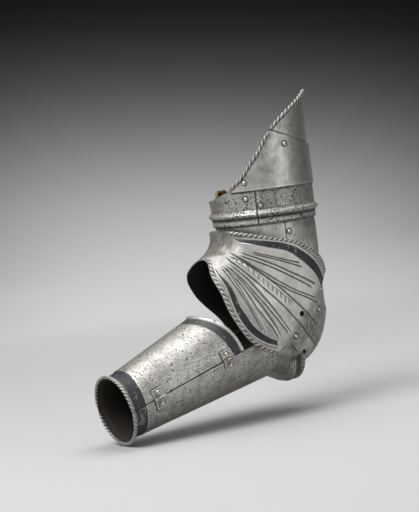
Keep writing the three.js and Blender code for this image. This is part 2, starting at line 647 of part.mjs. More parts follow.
const SLEEVE_RIVETS = pair("sleeve", sleeveAt, 0, SLEEVE_SEAM_ANGLE - LAP_TURN / 2, SLEEVE_RIVET_Z);
const STRAP_RIVETS = [{ name: "strap", side: "inner", ...onPlate(bandAt, STRAP_ANGLE, STRAP_RIVET_Z) }];
const holed = (solid, places) => places.reduce(
  (left, place) => drilled(left, place, RIVET_SHANK + SEAT), solid,
);

// Hinges. Both share one straight axis, a little above the seam of the cannon.
const KNUCKLE_RADIUS = PIN_RADIUS + SEAT + KNUCKLE_WALL;
const PIN_LIFT = KNUCKLE_RADIUS + SEAT;
const pinAt = (t) => cannonAt(-QUARTER_TURN, t, PIN_LIFT);
const pinAxis = pinAt(WRIST_LENGTH).sub(pinAt(0)).normalize();
const HINGE_PARTS = ["upper", "lower"].map((name, i) => ({ name, middle: HINGE_PLACES[i] }));
const leafTurn = (t, reach) => degreesAlong(reach, cannonRadius(t));
const leafSurface = (middle) => (turn, share) => (
  cannonAt(turn, middle + HINGE_WIDTH * (share - 1 / 2), SEAT + LEAF_WALL)
);
const LEAF_RIVETS = HINGE_PARTS.flatMap(({ name, middle }) => ["front", "rear"].map((leaf) => {
  const way = leaf === "front" ? 1 : -1;
  const turn = way * leafTurn(middle, (HINGE_REACH + KNUCKLE_RADIUS) / 2) - QUARTER_TURN;
  return { name: `${name}_hinge`, leaf, ...onPlate(leafSurface(middle), turn, 1 / 2) };
}));

// A round bar or tube along an axis: bore zero makes a bar.
function barGeometry(place, axis, length, radius, bore = 0) {
  const outline = [[bore, 0], [radius, 0], [radius, length], [bore, length]];
  if (bore > 0) outline.push([bore, 0]);
  const points = outline.map(([x, y]) => new THREE.Vector2(x, y - length / 2));
  return turnedTo(new THREE.LatheGeometry(points, ROUND_STEPS), place, axis);
}

// The stretches of a hinge that belong to one leaf: two outer knuckles or the middle one.
function knuckles(leaf) {
  const width = (1 - 2 * KNUCKLE_GAP_SHARE) / 3;
  const starts = [0, 1, 2].map((i) => i * (width + KNUCKLE_GAP_SHARE));
  const stretches = starts.map((start) => [start, start + width]);
  return stretches.filter((_, i) => (i === 1) === (leaf === "rear"));
}

function hingeLeaf({ name, middle }, leaf) {
  const way = leaf === "front" ? 1 : -1;
  const surface = leafSurface(middle);
  const strip = (near, far, rows) => {
    const turns = [near, far].map((reach) => way * leafTurn(middle, reach) - QUARTER_TURN);
    return plate(surface, Math.min(...turns), Math.max(...turns), rows, { wall: LEAF_WALL, steps: LEAF_STEPS });
  };
  let whole = strip(KNUCKLE_RADIUS + SEAT, HINGE_REACH, [0, 1]);
  for (const [from, to] of knuckles(leaf)) {
    const place = pinAt(middle + HINGE_WIDTH * ((from + to) / 2 - 1 / 2));
    const knuckle = barGeometry(place, pinAxis, HINGE_WIDTH * (to - from), KNUCKLE_RADIUS);
    whole = whole.add(strip(0, KNUCKLE_RADIUS + SEAT + BITE, [from, to])).add(solidFrom(knuckle));
  }
  const bore = barGeometry(pinAt(middle), pinAxis, HINGE_WIDTH + OVERRUN, PIN_RADIUS + SEAT);
  const rivets = LEAF_RIVETS.filter((rivet) => rivet.name === `${name}_hinge` && rivet.leaf === leaf);
  return holed(whole.subtract(solidFrom(bore)), rivets);
}

function hingePin({ middle }) {
  const half = HINGE_WIDTH / 2 + SEAT;
  const end = half + PIN_HEAD_LENGTH;
  const outline = [[0, -end], [PIN_HEAD, -end], [PIN_HEAD, -half], [PIN_RADIUS, -half],
    [PIN_RADIUS, half], [PIN_HEAD, half], [PIN_HEAD, end], [0, end]];
  const points = outline.map(([x, y]) => new THREE.Vector2(x, y));
  return turnedTo(new THREE.LatheGeometry(points, ROUND_STEPS), pinAt(middle), pinAxis);
}

// Strap and buckle, inside the open front of the turning band. The buckle hangs inward
// over the strap's looped end.
const STRAP_RADIUS = BAND_RADIUS - WALL - SEAT;
const strapAcross = vector(-sine(STRAP_ANGLE), cosine(STRAP_ANGLE), 0);
const LOOP_RADIUS = BUCKLE_WIRE + SEAT + STRAP_WALL / 2;
const BAR_RADIUS = STRAP_RADIUS - STRAP_WALL - BUCKLE_WIRE - 2 * PLAY;
const barPlace = around(BAR_RADIUS, STRAP_ANGLE, STRAP_LOW_Z + STRAP_LENGTH);

function strap() {
  const half = degreesAlong(STRAP_WIDTH / 2, STRAP_RADIUS);
  const top = STRAP_LOW_Z + STRAP_LENGTH;
  const surface = (turn, share) => around(STRAP_RADIUS, turn, mix(STRAP_LOW_Z, top, share));
  let whole = plate(surface, STRAP_ANGLE - half, STRAP_ANGLE + half, shares(2, 0), { wall: STRAP_WALL });
  const loop = STRAP_WIDTH / 2 - TONGUE_WIDTH / 2 - SEAT;
  for (const way of [-1, 1]) {
    const place = barPlace.clone().addScaledVector(strapAcross, way * (STRAP_WIDTH - loop) / 2);
    whole = whole.add(solidFrom(barGeometry(place, strapAcross, loop, LOOP_RADIUS)));
  }
  const depth = 2 * (LOOP_RADIUS + SEAT);
  const notch = new THREE.BoxGeometry(depth, TONGUE_WIDTH + 2 * SEAT, depth);
  notch.rotateZ(radians(STRAP_ANGLE)).translate(barPlace.x, barPlace.y, barPlace.z);
  const bore = barGeometry(barPlace, strapAcross, STRAP_WIDTH + OVERRUN, BUCKLE_WIRE + SEAT);
  return holed(whole.subtract(solidFrom(notch)).subtract(solidFrom(bore)), STRAP_RIVETS);
}

// A flat piece drawn across and down from the buckle's bar, as thick as the bar.
function buckleGeometry(shape, thickness, lift = 0) {
  const geometry = new THREE.ExtrudeGeometry(shape, { depth: thickness, bevelEnabled: false });
  geometry.translate(0, 0, lift - thickness / 2);
  const down = vector(0, 0, -1);
  const basis = new THREE.Matrix4().makeBasis(strapAcross, down, strapAcross.clone().cross(down));
  return geometry.applyMatrix4(basis).translate(barPlace.x, barPlace.y, barPlace.z);
}

function buckleFrame() {
  const half = STRAP_WIDTH / 2 + SEAT;
  const arm = 2 * BUCKLE_WIRE;
  const outline = [[-half - arm, -BUCKLE_WIRE], [-half, -BUCKLE_WIRE], [-half, BUCKLE_LENGTH - arm],
    [half, BUCKLE_LENGTH - arm], [half, -BUCKLE_WIRE], [half + arm, -BUCKLE_WIRE],
    [half + arm, BUCKLE_LENGTH], [-half - arm, BUCKLE_LENGTH]];
  const shape = new THREE.Shape(outline.map(([x, y]) => new THREE.Vector2(x, y)));
  const bar = barGeometry(barPlace, strapAcross, 2 * half + arm, BUCKLE_WIRE);
  return solidFrom(buckleGeometry(shape, arm)).add(solidFrom(bar));
}

function buckleTongue() {
  const ring = barGeometry(barPlace, strapAcross, TONGUE_WIDTH, LOOP_RADIUS);
  const lift = BUCKLE_WIRE + SEAT + TONGUE_WALL / 2;
  const half = TONGUE_WIDTH / 2;
  const shape = new THREE.Shape([[-half, 0], [half, 0], [half, BUCKLE_LENGTH], [-half, BUCKLE_LENGTH]]
    .map(([x, y]) => new THREE.Vector2(x, y)));
  const bore = barGeometry(barPlace, strapAcross, TONGUE_WIDTH + OVERRUN, BUCKLE_WIRE + SEAT);
  return solidFrom(ring).add(solidFrom(buckleGeometry(shape, TONGUE_WALL, lift))).subtract(solidFrom(bore));
}

// Upper arm plates
function pointPlate() {
  const span = POINT_SPAN_SHARE * SHOULDER_SPAN;
  const free = (turn) => (tipEdge(turn) > seamHeight(turn) + ROLL_WIDTH ? 1 : 0);
  const raise = (turn, share) => (
    free(turn) * roll((1 - share) * (tipEdge(turn) - seamHeight(turn) + SEAM_OVERLAP))
  );
  const whole = plate(pointSurface, CREST_ANGLE - span, CREST_ANGLE + span, ROLLED_TOP_SHARES, { raise });
  return holed(whole, POINT_RIVETS);
}

function shoulderPlate() {
  const free = (turn) => (shoulderTop(turn) < seamHeight(turn) ? 1 : 0);
  const raise = (turn, share) => (
    free(turn) * roll((1 - share) * (shoulderTop(turn) - SHOULDER_LOW_Z))
  );
  const whole = plate(
    shoulderSurface, CREST_ANGLE - SHOULDER_SPAN, CREST_ANGLE + SHOULDER_SPAN, ROLLED_TOP_SHARES, { raise },
  );
  return holed(whole, [...POINT_RIVETS, ...SHOULDER_RIVETS]);
}

function bandRear() {
  const span = BAND_SEAM_ANGLE - degreesAlong(SEAT, BAND_RADIUS);
  const whole = plate(bandSurface, CREST_ANGLE - span, CREST_ANGLE + span, BAND_ROWS);
  return holed(whole, BAND_RIVETS);
}

function bandFront() {
  const [near, far] = [CREST_ANGLE + BAND_SEAM_ANGLE, CREST_ANGLE + FULL_TURN - BAND_SEAM_ANGLE];
  const rows = BAND_ROWS.filter((row) => row > BAND_KNEE_SHARE);
  const whole = plate(bandSurface, near, far, BAND_ROWS)
    .add(tongue(bandSurface, near, near - LAP_TURN, rows))
    .add(tongue(bandSurface, far, far + LAP_TURN, rows));
  return holed(whole, [...SHOULDER_RIVETS, ...BAND_RIVETS, ...LINING_RIVETS, ...STRAP_RIVETS]);
}

function sleeveRear() {
  const span = SLEEVE_SEAM_ANGLE - degreesAlong(SEAT, SLEEVE_RADIUS);
  const whole = plate(sleeveSurface, -span, span, SLEEVE_ROWS, { wall: SLEEVE_WALL });
  return holed(whole, [...SLEEVE_RIVETS, ...pivotsOf("sleeve")]);
}

function sleeveFront() {
  const [near, far] = [SLEEVE_SEAM_ANGLE, FULL_TURN - SLEEVE_SEAM_ANGLE];
  const rows = SLEEVE_ROWS.filter((row) => row <= SLEEVE_KNEE_SHARE);
  const whole = plate(sleeveSurface, near, far, SLEEVE_ROWS, { wall: SLEEVE_WALL })
    .add(tongue(sleeveSurface, near, near - LAP_TURN, rows))
    .add(tongue(sleeveSurface, far, far + LAP_TURN, rows));
  return holed(whole, SLEEVE_RIVETS);
}

// Lames and cannon
const upperLame = () => holed(
  plate(upperLameSurface, -UPPER_LAME_SPAN, UPPER_LAME_SPAN, shares(LAME_STEPS, 0)),
  pivotsOf("sleeve", "upper"),
);

function lowerLame() {
  const visible = (BOWL_MOUTH - BOWL_EDGE) / LOWER_LAME_KNEE_SHARE;
  const raise = (turn, share) => (1 - earShare(turn)) * roll(share * visible);
  const ends = [LOWER_LAME_END, FULL_TURN - LOWER_LAME_END];
  const whole = plate(lowerLameSurface, ...ends, LOWER_LAME_SHARES, { raise });
  return holed(whole, pivotsOf("lower", "cannon"));
}

function cannonFront() {
  const edge = QUARTER_TURN - degreesAlong(SEAT, CANNON_RADIUS);
  const hinged = QUARTER_TURN - degreesAlong(HINGE_GAP, CANNON_RADIUS);
  const length = (turn) => WRIST_LENGTH - frontRim(turn);
  const raise = (turn, share) => roll(share * length(turn)) + roll((1 - share) * length(turn));
  const rows = CANNON_SHARES.filter((share) => share > TONGUE_START_SHARE && share < TONGUE_END_SHARE);
  const lapTurn = degreesAlong(LAP, CANNON_RADIUS);
  const whole = plate(frontSurface, -hinged, edge, CANNON_SHARES, { raise })
    .add(tongue(frontSurface, edge, edge + lapTurn, rows));
  return holed(whole, LEAF_RIVETS.filter(({ leaf }) => leaf === "front"));
}

function cannonRear() {
  const length = WRIST_LENGTH - REAR_RIM;
  const raise = (turn, share) => roll((1 - share) * length);
  const whole = plate(rearSurface, QUARTER_TURN, FULL_TURN - QUARTER_TURN, CANNON_SHARES, { raise });
  return holed(whole, [...pivotsOf("cannon"), ...LEAF_RIVETS.filter(({ leaf }) => leaf === "rear")]);
}

const group = new THREE.Group();
const steel = { color: 0x9a9c99, roughness: 0.35, metalness: 0.9 };
const darkSteel = { color: 0x6d6f6e, roughness: 0.45, metalness: 0.9 };
const brass = { color: 0xb08a3c, roughness: 0.4, metalness: 0.9 };
const leather = { color: 0x3a2417, roughness: 0.8, metalness: 0 };

function add(name, solid, finish) {
  const geometry = solid.isBufferGeometry ? solid : geometryFrom(solid);
  const mesh = new THREE.Mesh(geometry, new THREE.MeshStandardMaterial(finish));
  mesh.name = name;
  group.add(mesh);
}

// Stacks of plates under a rivet's head
const TWO_PLATES = 2 * WALL + SEAT;
const stacks = {
  point: TWO_PLATES, shoulder: TWO_PLATES, band: TWO_PLATES, sleeve: TWO_PLATES, lining: WALL,
  strap: WALL + SEAT + STRAP_WALL + BAND_FLARE, hinge: LEAF_WALL + SEAT + WALL,
};

add("point_plate", pointPlate(), steel);
add("shoulder_plate", shoulderPlate(), steel);
add("band_rear", bandRear(), steel);
add("band_front", bandFront(), steel);
add("sleeve_rear", sleeveRear(), steel);
add("sleeve_front", sleeveFront(), steel);
add("upper_lame", upperLame(), steel);
add("couter", elbowPlate(), steel);
add("lower_lame", lowerLame(), steel);
add("cannon_front", cannonFront(), steel);
add("cannon_rear", cannonRear(), steel);
const FIXED_RIVETS = [POINT_RIVETS, SHOULDER_RIVETS, BAND_RIVETS, LINING_RIVETS, SLEEVE_RIVETS, STRAP_RIVETS];
for (const rivet of FIXED_RIVETS.flat()) {
  add(`${rivet.name}_rivet_${rivet.side}`, rivetGeometry(rivet, stacks[rivet.name]), darkSteel);
}
for (const pivot of PIVOTS) {
  const stack = 2 * WALL + PIVOT_PLAYS[`${pivot.name}_${pivot.side}`];
  add(`${pivot.name}_pivot_${pivot.side}`, rivetGeometry(pivot, stack), darkSteel);
}
for (const hinge of HINGE_PARTS) {
  add(`${hinge.name}_hinge_front_leaf`, hingeLeaf(hinge, "front"), steel);
  add(`${hinge.name}_hinge_rear_leaf`, hingeLeaf(hinge, "rear"), steel);
  add(`${hinge.name}_hinge_pin`, hingePin(hinge), darkSteel);
}
for (const rivet of LEAF_RIVETS) {
  add(`${rivet.name}_rivet_${rivet.leaf}`, rivetGeometry(rivet, stacks.hinge), darkSteel);
}
add("strap", strap(), leather);
add("buckle_frame", buckleFrame(), brass);
add("buckle_tongue", buckleTongue(), brass);

export default group;
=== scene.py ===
"""Looks of a steel vambrace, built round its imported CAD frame.

Places are worked out in millimetres, in the frame's own directions: the origin is the
centre of the elbow, +Z runs up the upper arm, +X to the back of the elbow and -Y to the
outer side. A plate is a thin shell under a surface that takes a turn in degrees and a
share of its height, as in the part's source.
"""

import functools
import json
import math

import bmesh
import bpy
import numpy as np
from mathutils import Matrix, Vector
from mathutils.kdtree import KDTree


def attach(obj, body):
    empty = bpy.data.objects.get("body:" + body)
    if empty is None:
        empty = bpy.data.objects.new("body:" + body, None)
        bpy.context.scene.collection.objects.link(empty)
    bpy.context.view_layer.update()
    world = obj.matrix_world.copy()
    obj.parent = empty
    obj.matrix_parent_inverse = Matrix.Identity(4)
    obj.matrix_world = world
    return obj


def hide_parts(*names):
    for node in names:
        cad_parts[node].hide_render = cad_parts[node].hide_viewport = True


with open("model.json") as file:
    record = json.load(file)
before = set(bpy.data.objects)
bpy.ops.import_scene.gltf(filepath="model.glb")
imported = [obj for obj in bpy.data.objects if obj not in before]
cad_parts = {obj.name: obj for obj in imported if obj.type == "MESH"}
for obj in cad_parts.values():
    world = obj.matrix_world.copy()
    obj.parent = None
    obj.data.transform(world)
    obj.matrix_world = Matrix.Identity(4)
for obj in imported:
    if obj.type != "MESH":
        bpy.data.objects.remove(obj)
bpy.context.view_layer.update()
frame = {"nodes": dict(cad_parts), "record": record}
MM = 0.001

# Plates and fits
WALL = 1.4
PLAY = 0.4
SEAT = 0.3
ROLL_HEIGHT = 1.3
ROLL_WIDTH = 3.6

# Upper arm
BEAD_RADIUS = 60
BEAD_RISE = 3.4
BEAD_HALF = 5.2
FLANGE_HALF = 3.4
BEAD_Z = 116
LIP_Z = 105
BAND_LOW_Z = 133
BAND_HIGH_Z = 157
BAND_FLARE = 1.2
BAND_RADIUS = BEAD_RADIUS - BEAD_RISE
SLEEVE_RADIUS = 55.2
SLEEVE_WALL = 1.2
SLEEVE_FRONT_TAPER = 2.4
SLEEVE_SIDE_TAPER = 2.8
SLEEVE_SIDE_Z = 82
SLEEVE_SIDE_LENGTH = 20
SLEEVE_TAPER_LENGTH = 12
SLEEVE_FRONT_Z = 90
SHOULDER_LOW_Z = 141
SHOULDER_RADIUS = BAND_RADIUS + WALL + SEAT
SHOULDER_LEAN = 0.5
SEAM_Z = 184
SEAM_OVERLAP = 9
TIP_Z = 242
TIP_FLARE = 2.8
CREST_ANGLE = -38
BAND_SEAM_ANGLE = 93
SLEEVE_SEAM_ANGLE = 101.5
SHOULDER_SPAN = 121
POINT_SPAN_SHARE = 0.575

# Elbow
ELBOW_BEND = 107.18
RIB_TILT = 45
ELBOW_BACK = 57
ELBOW_SIDE = 50
ELBOW_FRONT = 110
CREASE_RISE = 12
MIDDLE_ROUNDNESS = 0.85
WING_RADIUS = 57.8
WING_SIDE = 59.5
CROOK_REACH = 63
CROOK_HEIGHT = 100
LOBE_SIDE = 57
LOBE_REACH = 97
LOBE_DEPTH = 82
LOBE_REAR_SHARE = 0.53
CAP_TOP = 33.5
CAP_STEP = 26.5
CAP_CROSSING = 23.5
CAP_BOTTOM = 31.5
CAP_TUCK = 42
LOBE_END = 3.5
LOBE_NOTCH = -3
CORNER = 5
LACE_HOLE = 3.2

# Lames
UPPER_LAME_LOW_SHARE = 0.2
UPPER_LAME_HIGH_SHARE = 0.86
UPPER_LAME_SPAN = 70
BOWL_SIDE = 50.2
BOWL_EAR = 44.5
BOWL_DEPTH = 62
BOWL_DROP = 8
BOWL_EDGE = 10.5
BOWL_TUCK = 60
BOWL_TUCK_SLOPE = 0.08
BOWL_MOUTH = 42
LOWER_LAME_END = 90
BOWL_EAR_TOP = 48
BOWL_EAR_LENGTH = 25
BOWL_EAR_LOW = 41
BOWL_EAR_STEP = 4
BOWL_EAR_DEPTH = 22
BOWL_EAR_EDGE = 9.5
BOWL_SLOPE = 0.85
LOWER_LAME_KNEE_SHARE = 0.7

# Forearm
CANNON_RADIUS = 51
CANNON_ELBOW = 48
WRIST_RADIUS = 34.6
WRIST_LENGTH = 225.5
WRIST_RIM_RADIUS = 37.2
WRIST_FLARE_LENGTH = 9
WRIST_SKEW = 5.1
REAR_RIM = 43.5
REAR_RIM_SKEW = 4
REAR_CORNER = 6
REAR_CORNER_SHARE = 0.3
CROOK_RIM = 97
SEAM_RIM = 82
RIM_SWEEP = 3.5
HINGE_GAP = 1.3

# Outlines, as pairs of a place and a height, both as shares of the sizes above
TIP_EDGE_SHARES = [[0, 1], [0.08, 0.97], [0.2, 0.86], [0.33, 0.72], [0.46, 0.54], [0.58, 0.33]]
SEAM_SHARES = [[0, 0], [0.23, 0.076], [0.42, 0.2], [0.58, 0.33], [1, 0.7]]
SHOULDER_EDGE_SHARES = [[0.5, 1.08], [0.59, 0.97], [0.7, 0.66], [0.78, 0.48], [0.87, 0.26], [1, 0.07]]
BAND_TOP_SHARES = [
    [0, 0], [0.11, 0.02], [0.2, 0.2], [0.26, 0.32], [0.31, 0.43], [0.36, 0.57], [0.43, 0.93],
    [0.5, 1], [1, 1],
]
SLEEVE_LOW_SHARES = [[-1, 1], [-0.5, 0.85], [0, 0.57], [0.3, 0.38], [0.6, 0.2], [1, -0.05]]
WING_TOP_SHARES = [
    [-1, 1.025], [-0.87, 0.985], [-0.49, 0.905], [-0.18, 0.85], [0.14, 0.765], [0.43, 0.67],
    [0.66, 0.55], [0.8, 0.43], [1, 0.27],
]
BAND_INNER_SHARES = [
    [-1, 1.025], [-0.87, 0.985], [-0.49, 0.84], [-0.18, 0.67], [0.14, 0.48], [0.43, 0.35],
    [0.66, 0.27], [0.8, 0.25], [1, 0.27],
]
WING_LOW_SHARES = [
    [-0.53, 0.5], [-0.24, 0.54], [-0.11, 0.73], [0.02, 0.87], [0.17, 0.955], [0.46, 1],
    [0.68, 0.955], [0.87, 0.9], [1, 0.74],
]
WING_LOW_INNER_SHARES = [
    [-0.53, 0.5], [-0.24, 0.38], [-0.11, 0.36], [0.02, 0.38], [0.19, 0.46], [0.38, 0.6],
    [0.58, 0.73], [0.85, 0.83], [1, 0.74],
]

# Turns, and small and large numbers
FULL_TURN = 360
HALF_TURN = 180
QUARTER_TURN = 90
SLOPE_STEP = 1e-3
TINY = 1e-6
FAR_OFF = 1e9

# Grids, as columns and rows, and spans of even steps, as start, end and count
GRIDS = {
    "band": (181, 90), "sleeve": (141, 70), "point": (181, 70), "shoulder": (301, 60),
    "lower_lame": (241, 110), "upper_lame": (91, 40),
}
WING_START = 192
WING_END = 312
COUTER_SPANS = [
    (0, HALF_TURN, 73), (HALF_TURN, WING_START, 41), (WING_START, WING_END, 431),
    (WING_END, FULL_TURN, 61),
]
COUTER_ROWS = 221
CANNON_SPANS = [(0, 0.1, 24), (0.1, 0.86, 60), (0.86, 1, 34)]
CANNON_COLUMNS = 181
SHARP_ANGLE = 42
GRAIN_RADIUS = 50  # turns are laid out on a cylinder of this radius, for the grain

# Masks that every plate has, and how pitted each plate is and how much age and painted shade it has
MASKS = ["black", "line", "pitted", "bright", "age_and_shade"]
WEAR_AND_SHADE = {
    "band": {"pitted": 1.2, "age_and_shade": 0.35}, "sleeve": {"pitted": 0.45}, "point": {"pitted": 0.3},
    # The lower lame is darkened all over as painted shade
    "shoulder": {"pitted": 0.4}, "upper_lame": {"pitted": 0.4}, "lower_lame": {"pitted": 0.5, "age_and_shade": 0.75},
    "couter": {"pitted": 0.35}, "cannon": {"pitted": 1.0},
}

# Ropes
ROPE_RADIUS = 1.9
ROPE_PITCH = 6.2  # length between two strands
ROPE_DEPTH = 0.42  # depth between strands, as a share of the radius
ROPE_STEP = 0.35  # length between two rings of a rope
ROPE_SIDES = 14
ROPE_TAPER = 6  # length over which a rope's ends thin out
ROPE_END_SHARE = 0.45
ROPE_SETBACK = 1.0  # how far a rope's middle lies from its plate's edge
ROPE_POINTS = 500
# Strand crests get a painted highlight, and the valleys between strands painted shade
ROPE_BRIGHT = 0.6
ROPE_AGED = 0.8
STRAND_VALLEY = 0.52
STRAND_CREST = 0.66
UPPER_ROPE_START = 195
LOWER_ROPE_START = 184
UPPER_ROPE = {"radius": 2.2, "setback": 1.5, "pitch": 5.4}
LOWER_ROPE = {"radius": 2.15, "setback": 2.4, "pitch": 6.2, "lift": -0.15}
WRIST_ROPE = {"radius": 1.8, "pitch": 4.4}

# Dark rings round the rivets and dark outlines round the hinge leaves, as strength, place and width
RIVET_RING = (0.95, 3.1, 0.8)
LEAF_OUTLINE = (0.95, 0, 0.9)
LEAVES = [f"{place}_hinge_{side}_leaf" for place in ("upper", "lower") for side in ("front", "rear")]

# Lines of the upper arm, as strength, place and width: widths from a plate's ends are turns. Dark lines are
# painted shade: by the bead, under the lip and overlapping edges, along edges, beside the ropes, in the seams
# and at the lap. Glints are painted highlights.
BAND_LINES = [(1, BEAD_Z - BEAD_HALF + 1.2, 1.7), (0.5, BEAD_Z + BEAD_HALF, 0.7)]
BAND_GLINTS = [(0.5, LIP_Z + 3.2, 1.1), (0.4, BEAD_Z + 1.5, 2)]
BAND_LIP_LINE = (0.95, 0, 0.8)
BAND_TOP_LINE = (0.8, 0, 1.1)
BAND_END_LINE = (0.95, 0, 0.8)
BAND_END_GLINT = (0.6, 1.9, 0.5)
UNDER_SHOULDER_LINE = (1, SHOULDER_LOW_Z - 0.3, 0.9)
SLEEVE_TOP_LINE = (0.8, LIP_Z - 0.9, 1.1)
SLEEVE_END_LINE = (0.9, 0, 0.45)
SLEEVE_END_GLINT = (0.6, 1.3, 0.5)
BESIDE_ROPE_LINE = (0.95, 3.9, 1.0)
BESIDE_ROPE_GLINT = (0.4, 5.2, 0.5)
SEAM_LINE = (1, -0.7, 1.1)
SHOULDER_LOW_LINE = (1, 0, 0.8)
SHOULDER_LOW_GLINT = (0.6, 1.9, 0.5)
LAP_LINE = (1, 0, 1.7)
LAP_BRIGHT = 0.6
LAP_FADE = (1.9, 1.5)
LAP_TURN = -57  # turn of the lap near the back of the upper plates
LAP_SLOPE = 0.055
OPEN_EDGE = 0.01  # how far below the seam an edge counts as open

# A fade is where it starts and how far it runs, which is negative where it falls

# Flutes of the wing, in pairs of grooves: x and z of their ends and bends
FLUTES = [
    ([(-48, 77), (-13, 63), (2, 58)],
     [(-47, 75), (-14, 61), (5, 53)]),
    ([(-58, 78), (-26, 60), (-8, 49), (23, 32)],
     [(-59, 75), (-30, 58), (-9, 45), (17, 29)]),
    ([(-67, 80), (-45, 59), (-25, 43), (-6, 30), (23, 16)],
     [(-69, 76), (-52, 63), (-32, 44), (-10, 29), (26, 11)]),
    ([(-72, 68), (-58, 50), (-45, 30), (-30, 7), (-16, -16)],
     [(-74, 66), (-62, 47), (-52, 31), (-36, 8), (-20, -16)]),
    ([(-76, 68), (-62, 42), (-48, 19), (-35, -6), (-31, -17)],
     [(-78, 67), (-67, 44), (-55, 17), (-40, -7), (-34, -19)]),
    ([(-79, 68), (-71, 45), (-63, 20), (-55, 1), (-51, -11)],
     [(-81, 66), (-75, 46), (-66, 23), (-58, 1), (-54, -8)]),
]
# Grooves are darkened with painted shade, and the ridges between them get a painted highlight
GROOVE_DEPTH = 0.65
GROOVE_WIDTH = 0.7
GROOVE_DARKNESS = 1.15
GROOVE_SHADE_OFFSET = 0.1
RIDGE_WIDTH = 0.75
RIDGE_HEIGHT = 0.6
RIDGE_BRIGHT = 0.9
LINE_START = (0, 0.06)
LINE_END = (1, -0.05)
BETWEEN_POINTS = 9

# The wing's rib: its edges, its rope and the ridged field at its end
RIB_EDGES = [
    [(-64, 76), (-53, 65), (-38, 50), (-20, 32), (-2, 13), (24, -15)],
    [(-72, 78), (-68, 69), (-57, 55), (-41, 36), (-24, 18), (-6, -4), (6, -20), (25, -38)],
]
RIB_EDGE_WIDTH = 1.15 * GROOVE_WIDTH
RIB_ROPE = [(-64, 72), (-56, 63), (-42, 46), (-23, 26), (-11, 14)]
RIB_ALONG = (0.674, -0.738)
RIB_PITCH = 6.4
RIB_SLANT = 0.85
RIB_NARROW = 2.2
RIB_WIDE = 3.9
RIB_FULLNESS = 1.6
RIB_START = (0, 0.05)
RIB_END = (1, -0.1)
RIB_HEIGHT = 1.5
RIB_VALLEY_HEIGHT = 0.35  # as a share of the rib's height
RIB_DARKNESS = 0.85
RIB_VALLEY = (0.5, -0.5)  # twists darkened with painted shade
RIB_CREST = (0.5, 0.4)  # twists lightened with a painted highlight
FIELD = [(3, -4), (25, -28)]
FIELD_SIDE = (7, -2)
FIELD_START = (0, 0.1)
FIELD_HEIGHT = 0.45
# Painted shade in the field's valleys
FIELD_DARKNESS = 0.75
FIELD_VALLEY = (0.55, -0.55)

# Black bands of the wing: turn of the edge, and where the band starts and ends, from it
UPPER_BLACK = [
    (203, 6.6, 7.4), (211, 6.4, 10.4), (221, 6.0, 10.8), (240, 4.6, 12.0), (251, 4.4, 12.4), (262, 4.9, 13.0),
    (276, 6.0, 15.5), (290, 8.0, 18.5), (305, 9.5, 20.5), (320, 12.0, 23.0), (338, 15.0, 25.0),
]
LOWER_BLACK = [
    (199, 5.6, 6.4), (218, 9.5, 13.5), (230, 9.1, 16.2), (241, 8.6, 16.4), (250, 7.2, 17.0), (258, 7.4, 17.0),
    (268, 8.4, 17.0), (281, 8.0, 15.2), (293, 7.4, 12.5),
]
EDGE_POINTS = 721
BAND_SOFT = 0.5
BLACK_SOFT = 0.7
BLACK_FADE = 4
BLACK_DEPTH = 0.35
BLACK_COVER = 0.8  # how much of a line a black band hides
WORN_BLACK = 0.55  # how full the black bands are where they are most rubbed, near the crook
WORN_SPAN = 38
EDGE_ROLL = (1, -0.9, 0.8)  # strength, place from the band's start, and width
EDGE_GAP = (1, -2.5, 0.5)
EDGE_RIM = (1, 0.3, 0.4)  # from the band's end
UPPER_ROLL_SHARE = 0.3
EDGE_ROLL_HEIGHT = 0.45
EDGE_RIM_HEIGHT = 0.25
# Painted shade in the gap between the roll and the rope, and a painted highlight on the roll and the rim
EDGE_GAP_DARKNESS = 0.95
EDGE_BRIGHT = 0.6

# Where the elbow plate gets painted shade: in the crook above the crease, over the saddle and towards the
# back; and where the wing gets a painted highlight
CREASE = (75, 3)
CROOK = (WING_START + 28, -22)
SADDLE = (WING_START + 26, -18)
SADDLE_SHADE = 0.75
BEHIND = (-6, 10)
BEHIND_SHADE = 0.65
WING_BRIGHT = 0.35
CUT_STEP = 15  # degrees between the points of the lace hole
CAP_POINTS = 1801
CAP_MARGIN = 0.5

# Lower lame
LAME_RIDGE_PLACES = [13.8, 17.0, 20.2]
LAME_RIDGES = [(1, place, 0.75) for place in LAME_RIDGE_PLACES]
# Painted shade beside the rope and below each ridge, and a painted highlight on the ridges
LAME_LINES = [(0.7, 3.4, 0.4)] + [(0.8, place + 1.5, 0.5) for place in LAME_RIDGE_PLACES]
LAME_RIDGE_HEIGHT = 0.6
LAME_RIDGE_BRIGHT = 0.35
LAME_BLACK = (4.4, 8.2)
LAME_BLACK_DEPTH = 0.3
LAME_ROPE_END = 0.05

# Cannon
WRIST_BLACK = (4.6, 14.5)
CROOK_BLACK = (3.4, 11.0)
CROOK_BLACK_MIDDLE = 0.72  # how full the crook's band is in its middle
CROOK_BLACK_SIDE = (35, 45)
CANNON_BLACK_DEPTH = 0.25
# Painted shade beside the wrist rope, beside the roll and in the seams, and painted highlights on the wrist
# ridge, the seam edges and the roll; the underside gets painted shade
WRIST_LINE = (0.7, 3.5, 0.45)
WRIST_RIDGE = (0.35, sum(WRIST_BLACK) + 0.6, 0.6)
CROOK_LINE = (0.5, 3.2, 0.45)
CANNON_END_LINE = (0.5, 0, 0.2)
CANNON_END_GLINT = (0.7, 0.6, 0.35)
ROLL_START = 0.25
ROLL_BRIGHT = 0.7
CANNON_UNDERSIDE_SHADE = 0.7
CANNON_SHADE_SIDE = (0.25, -1)

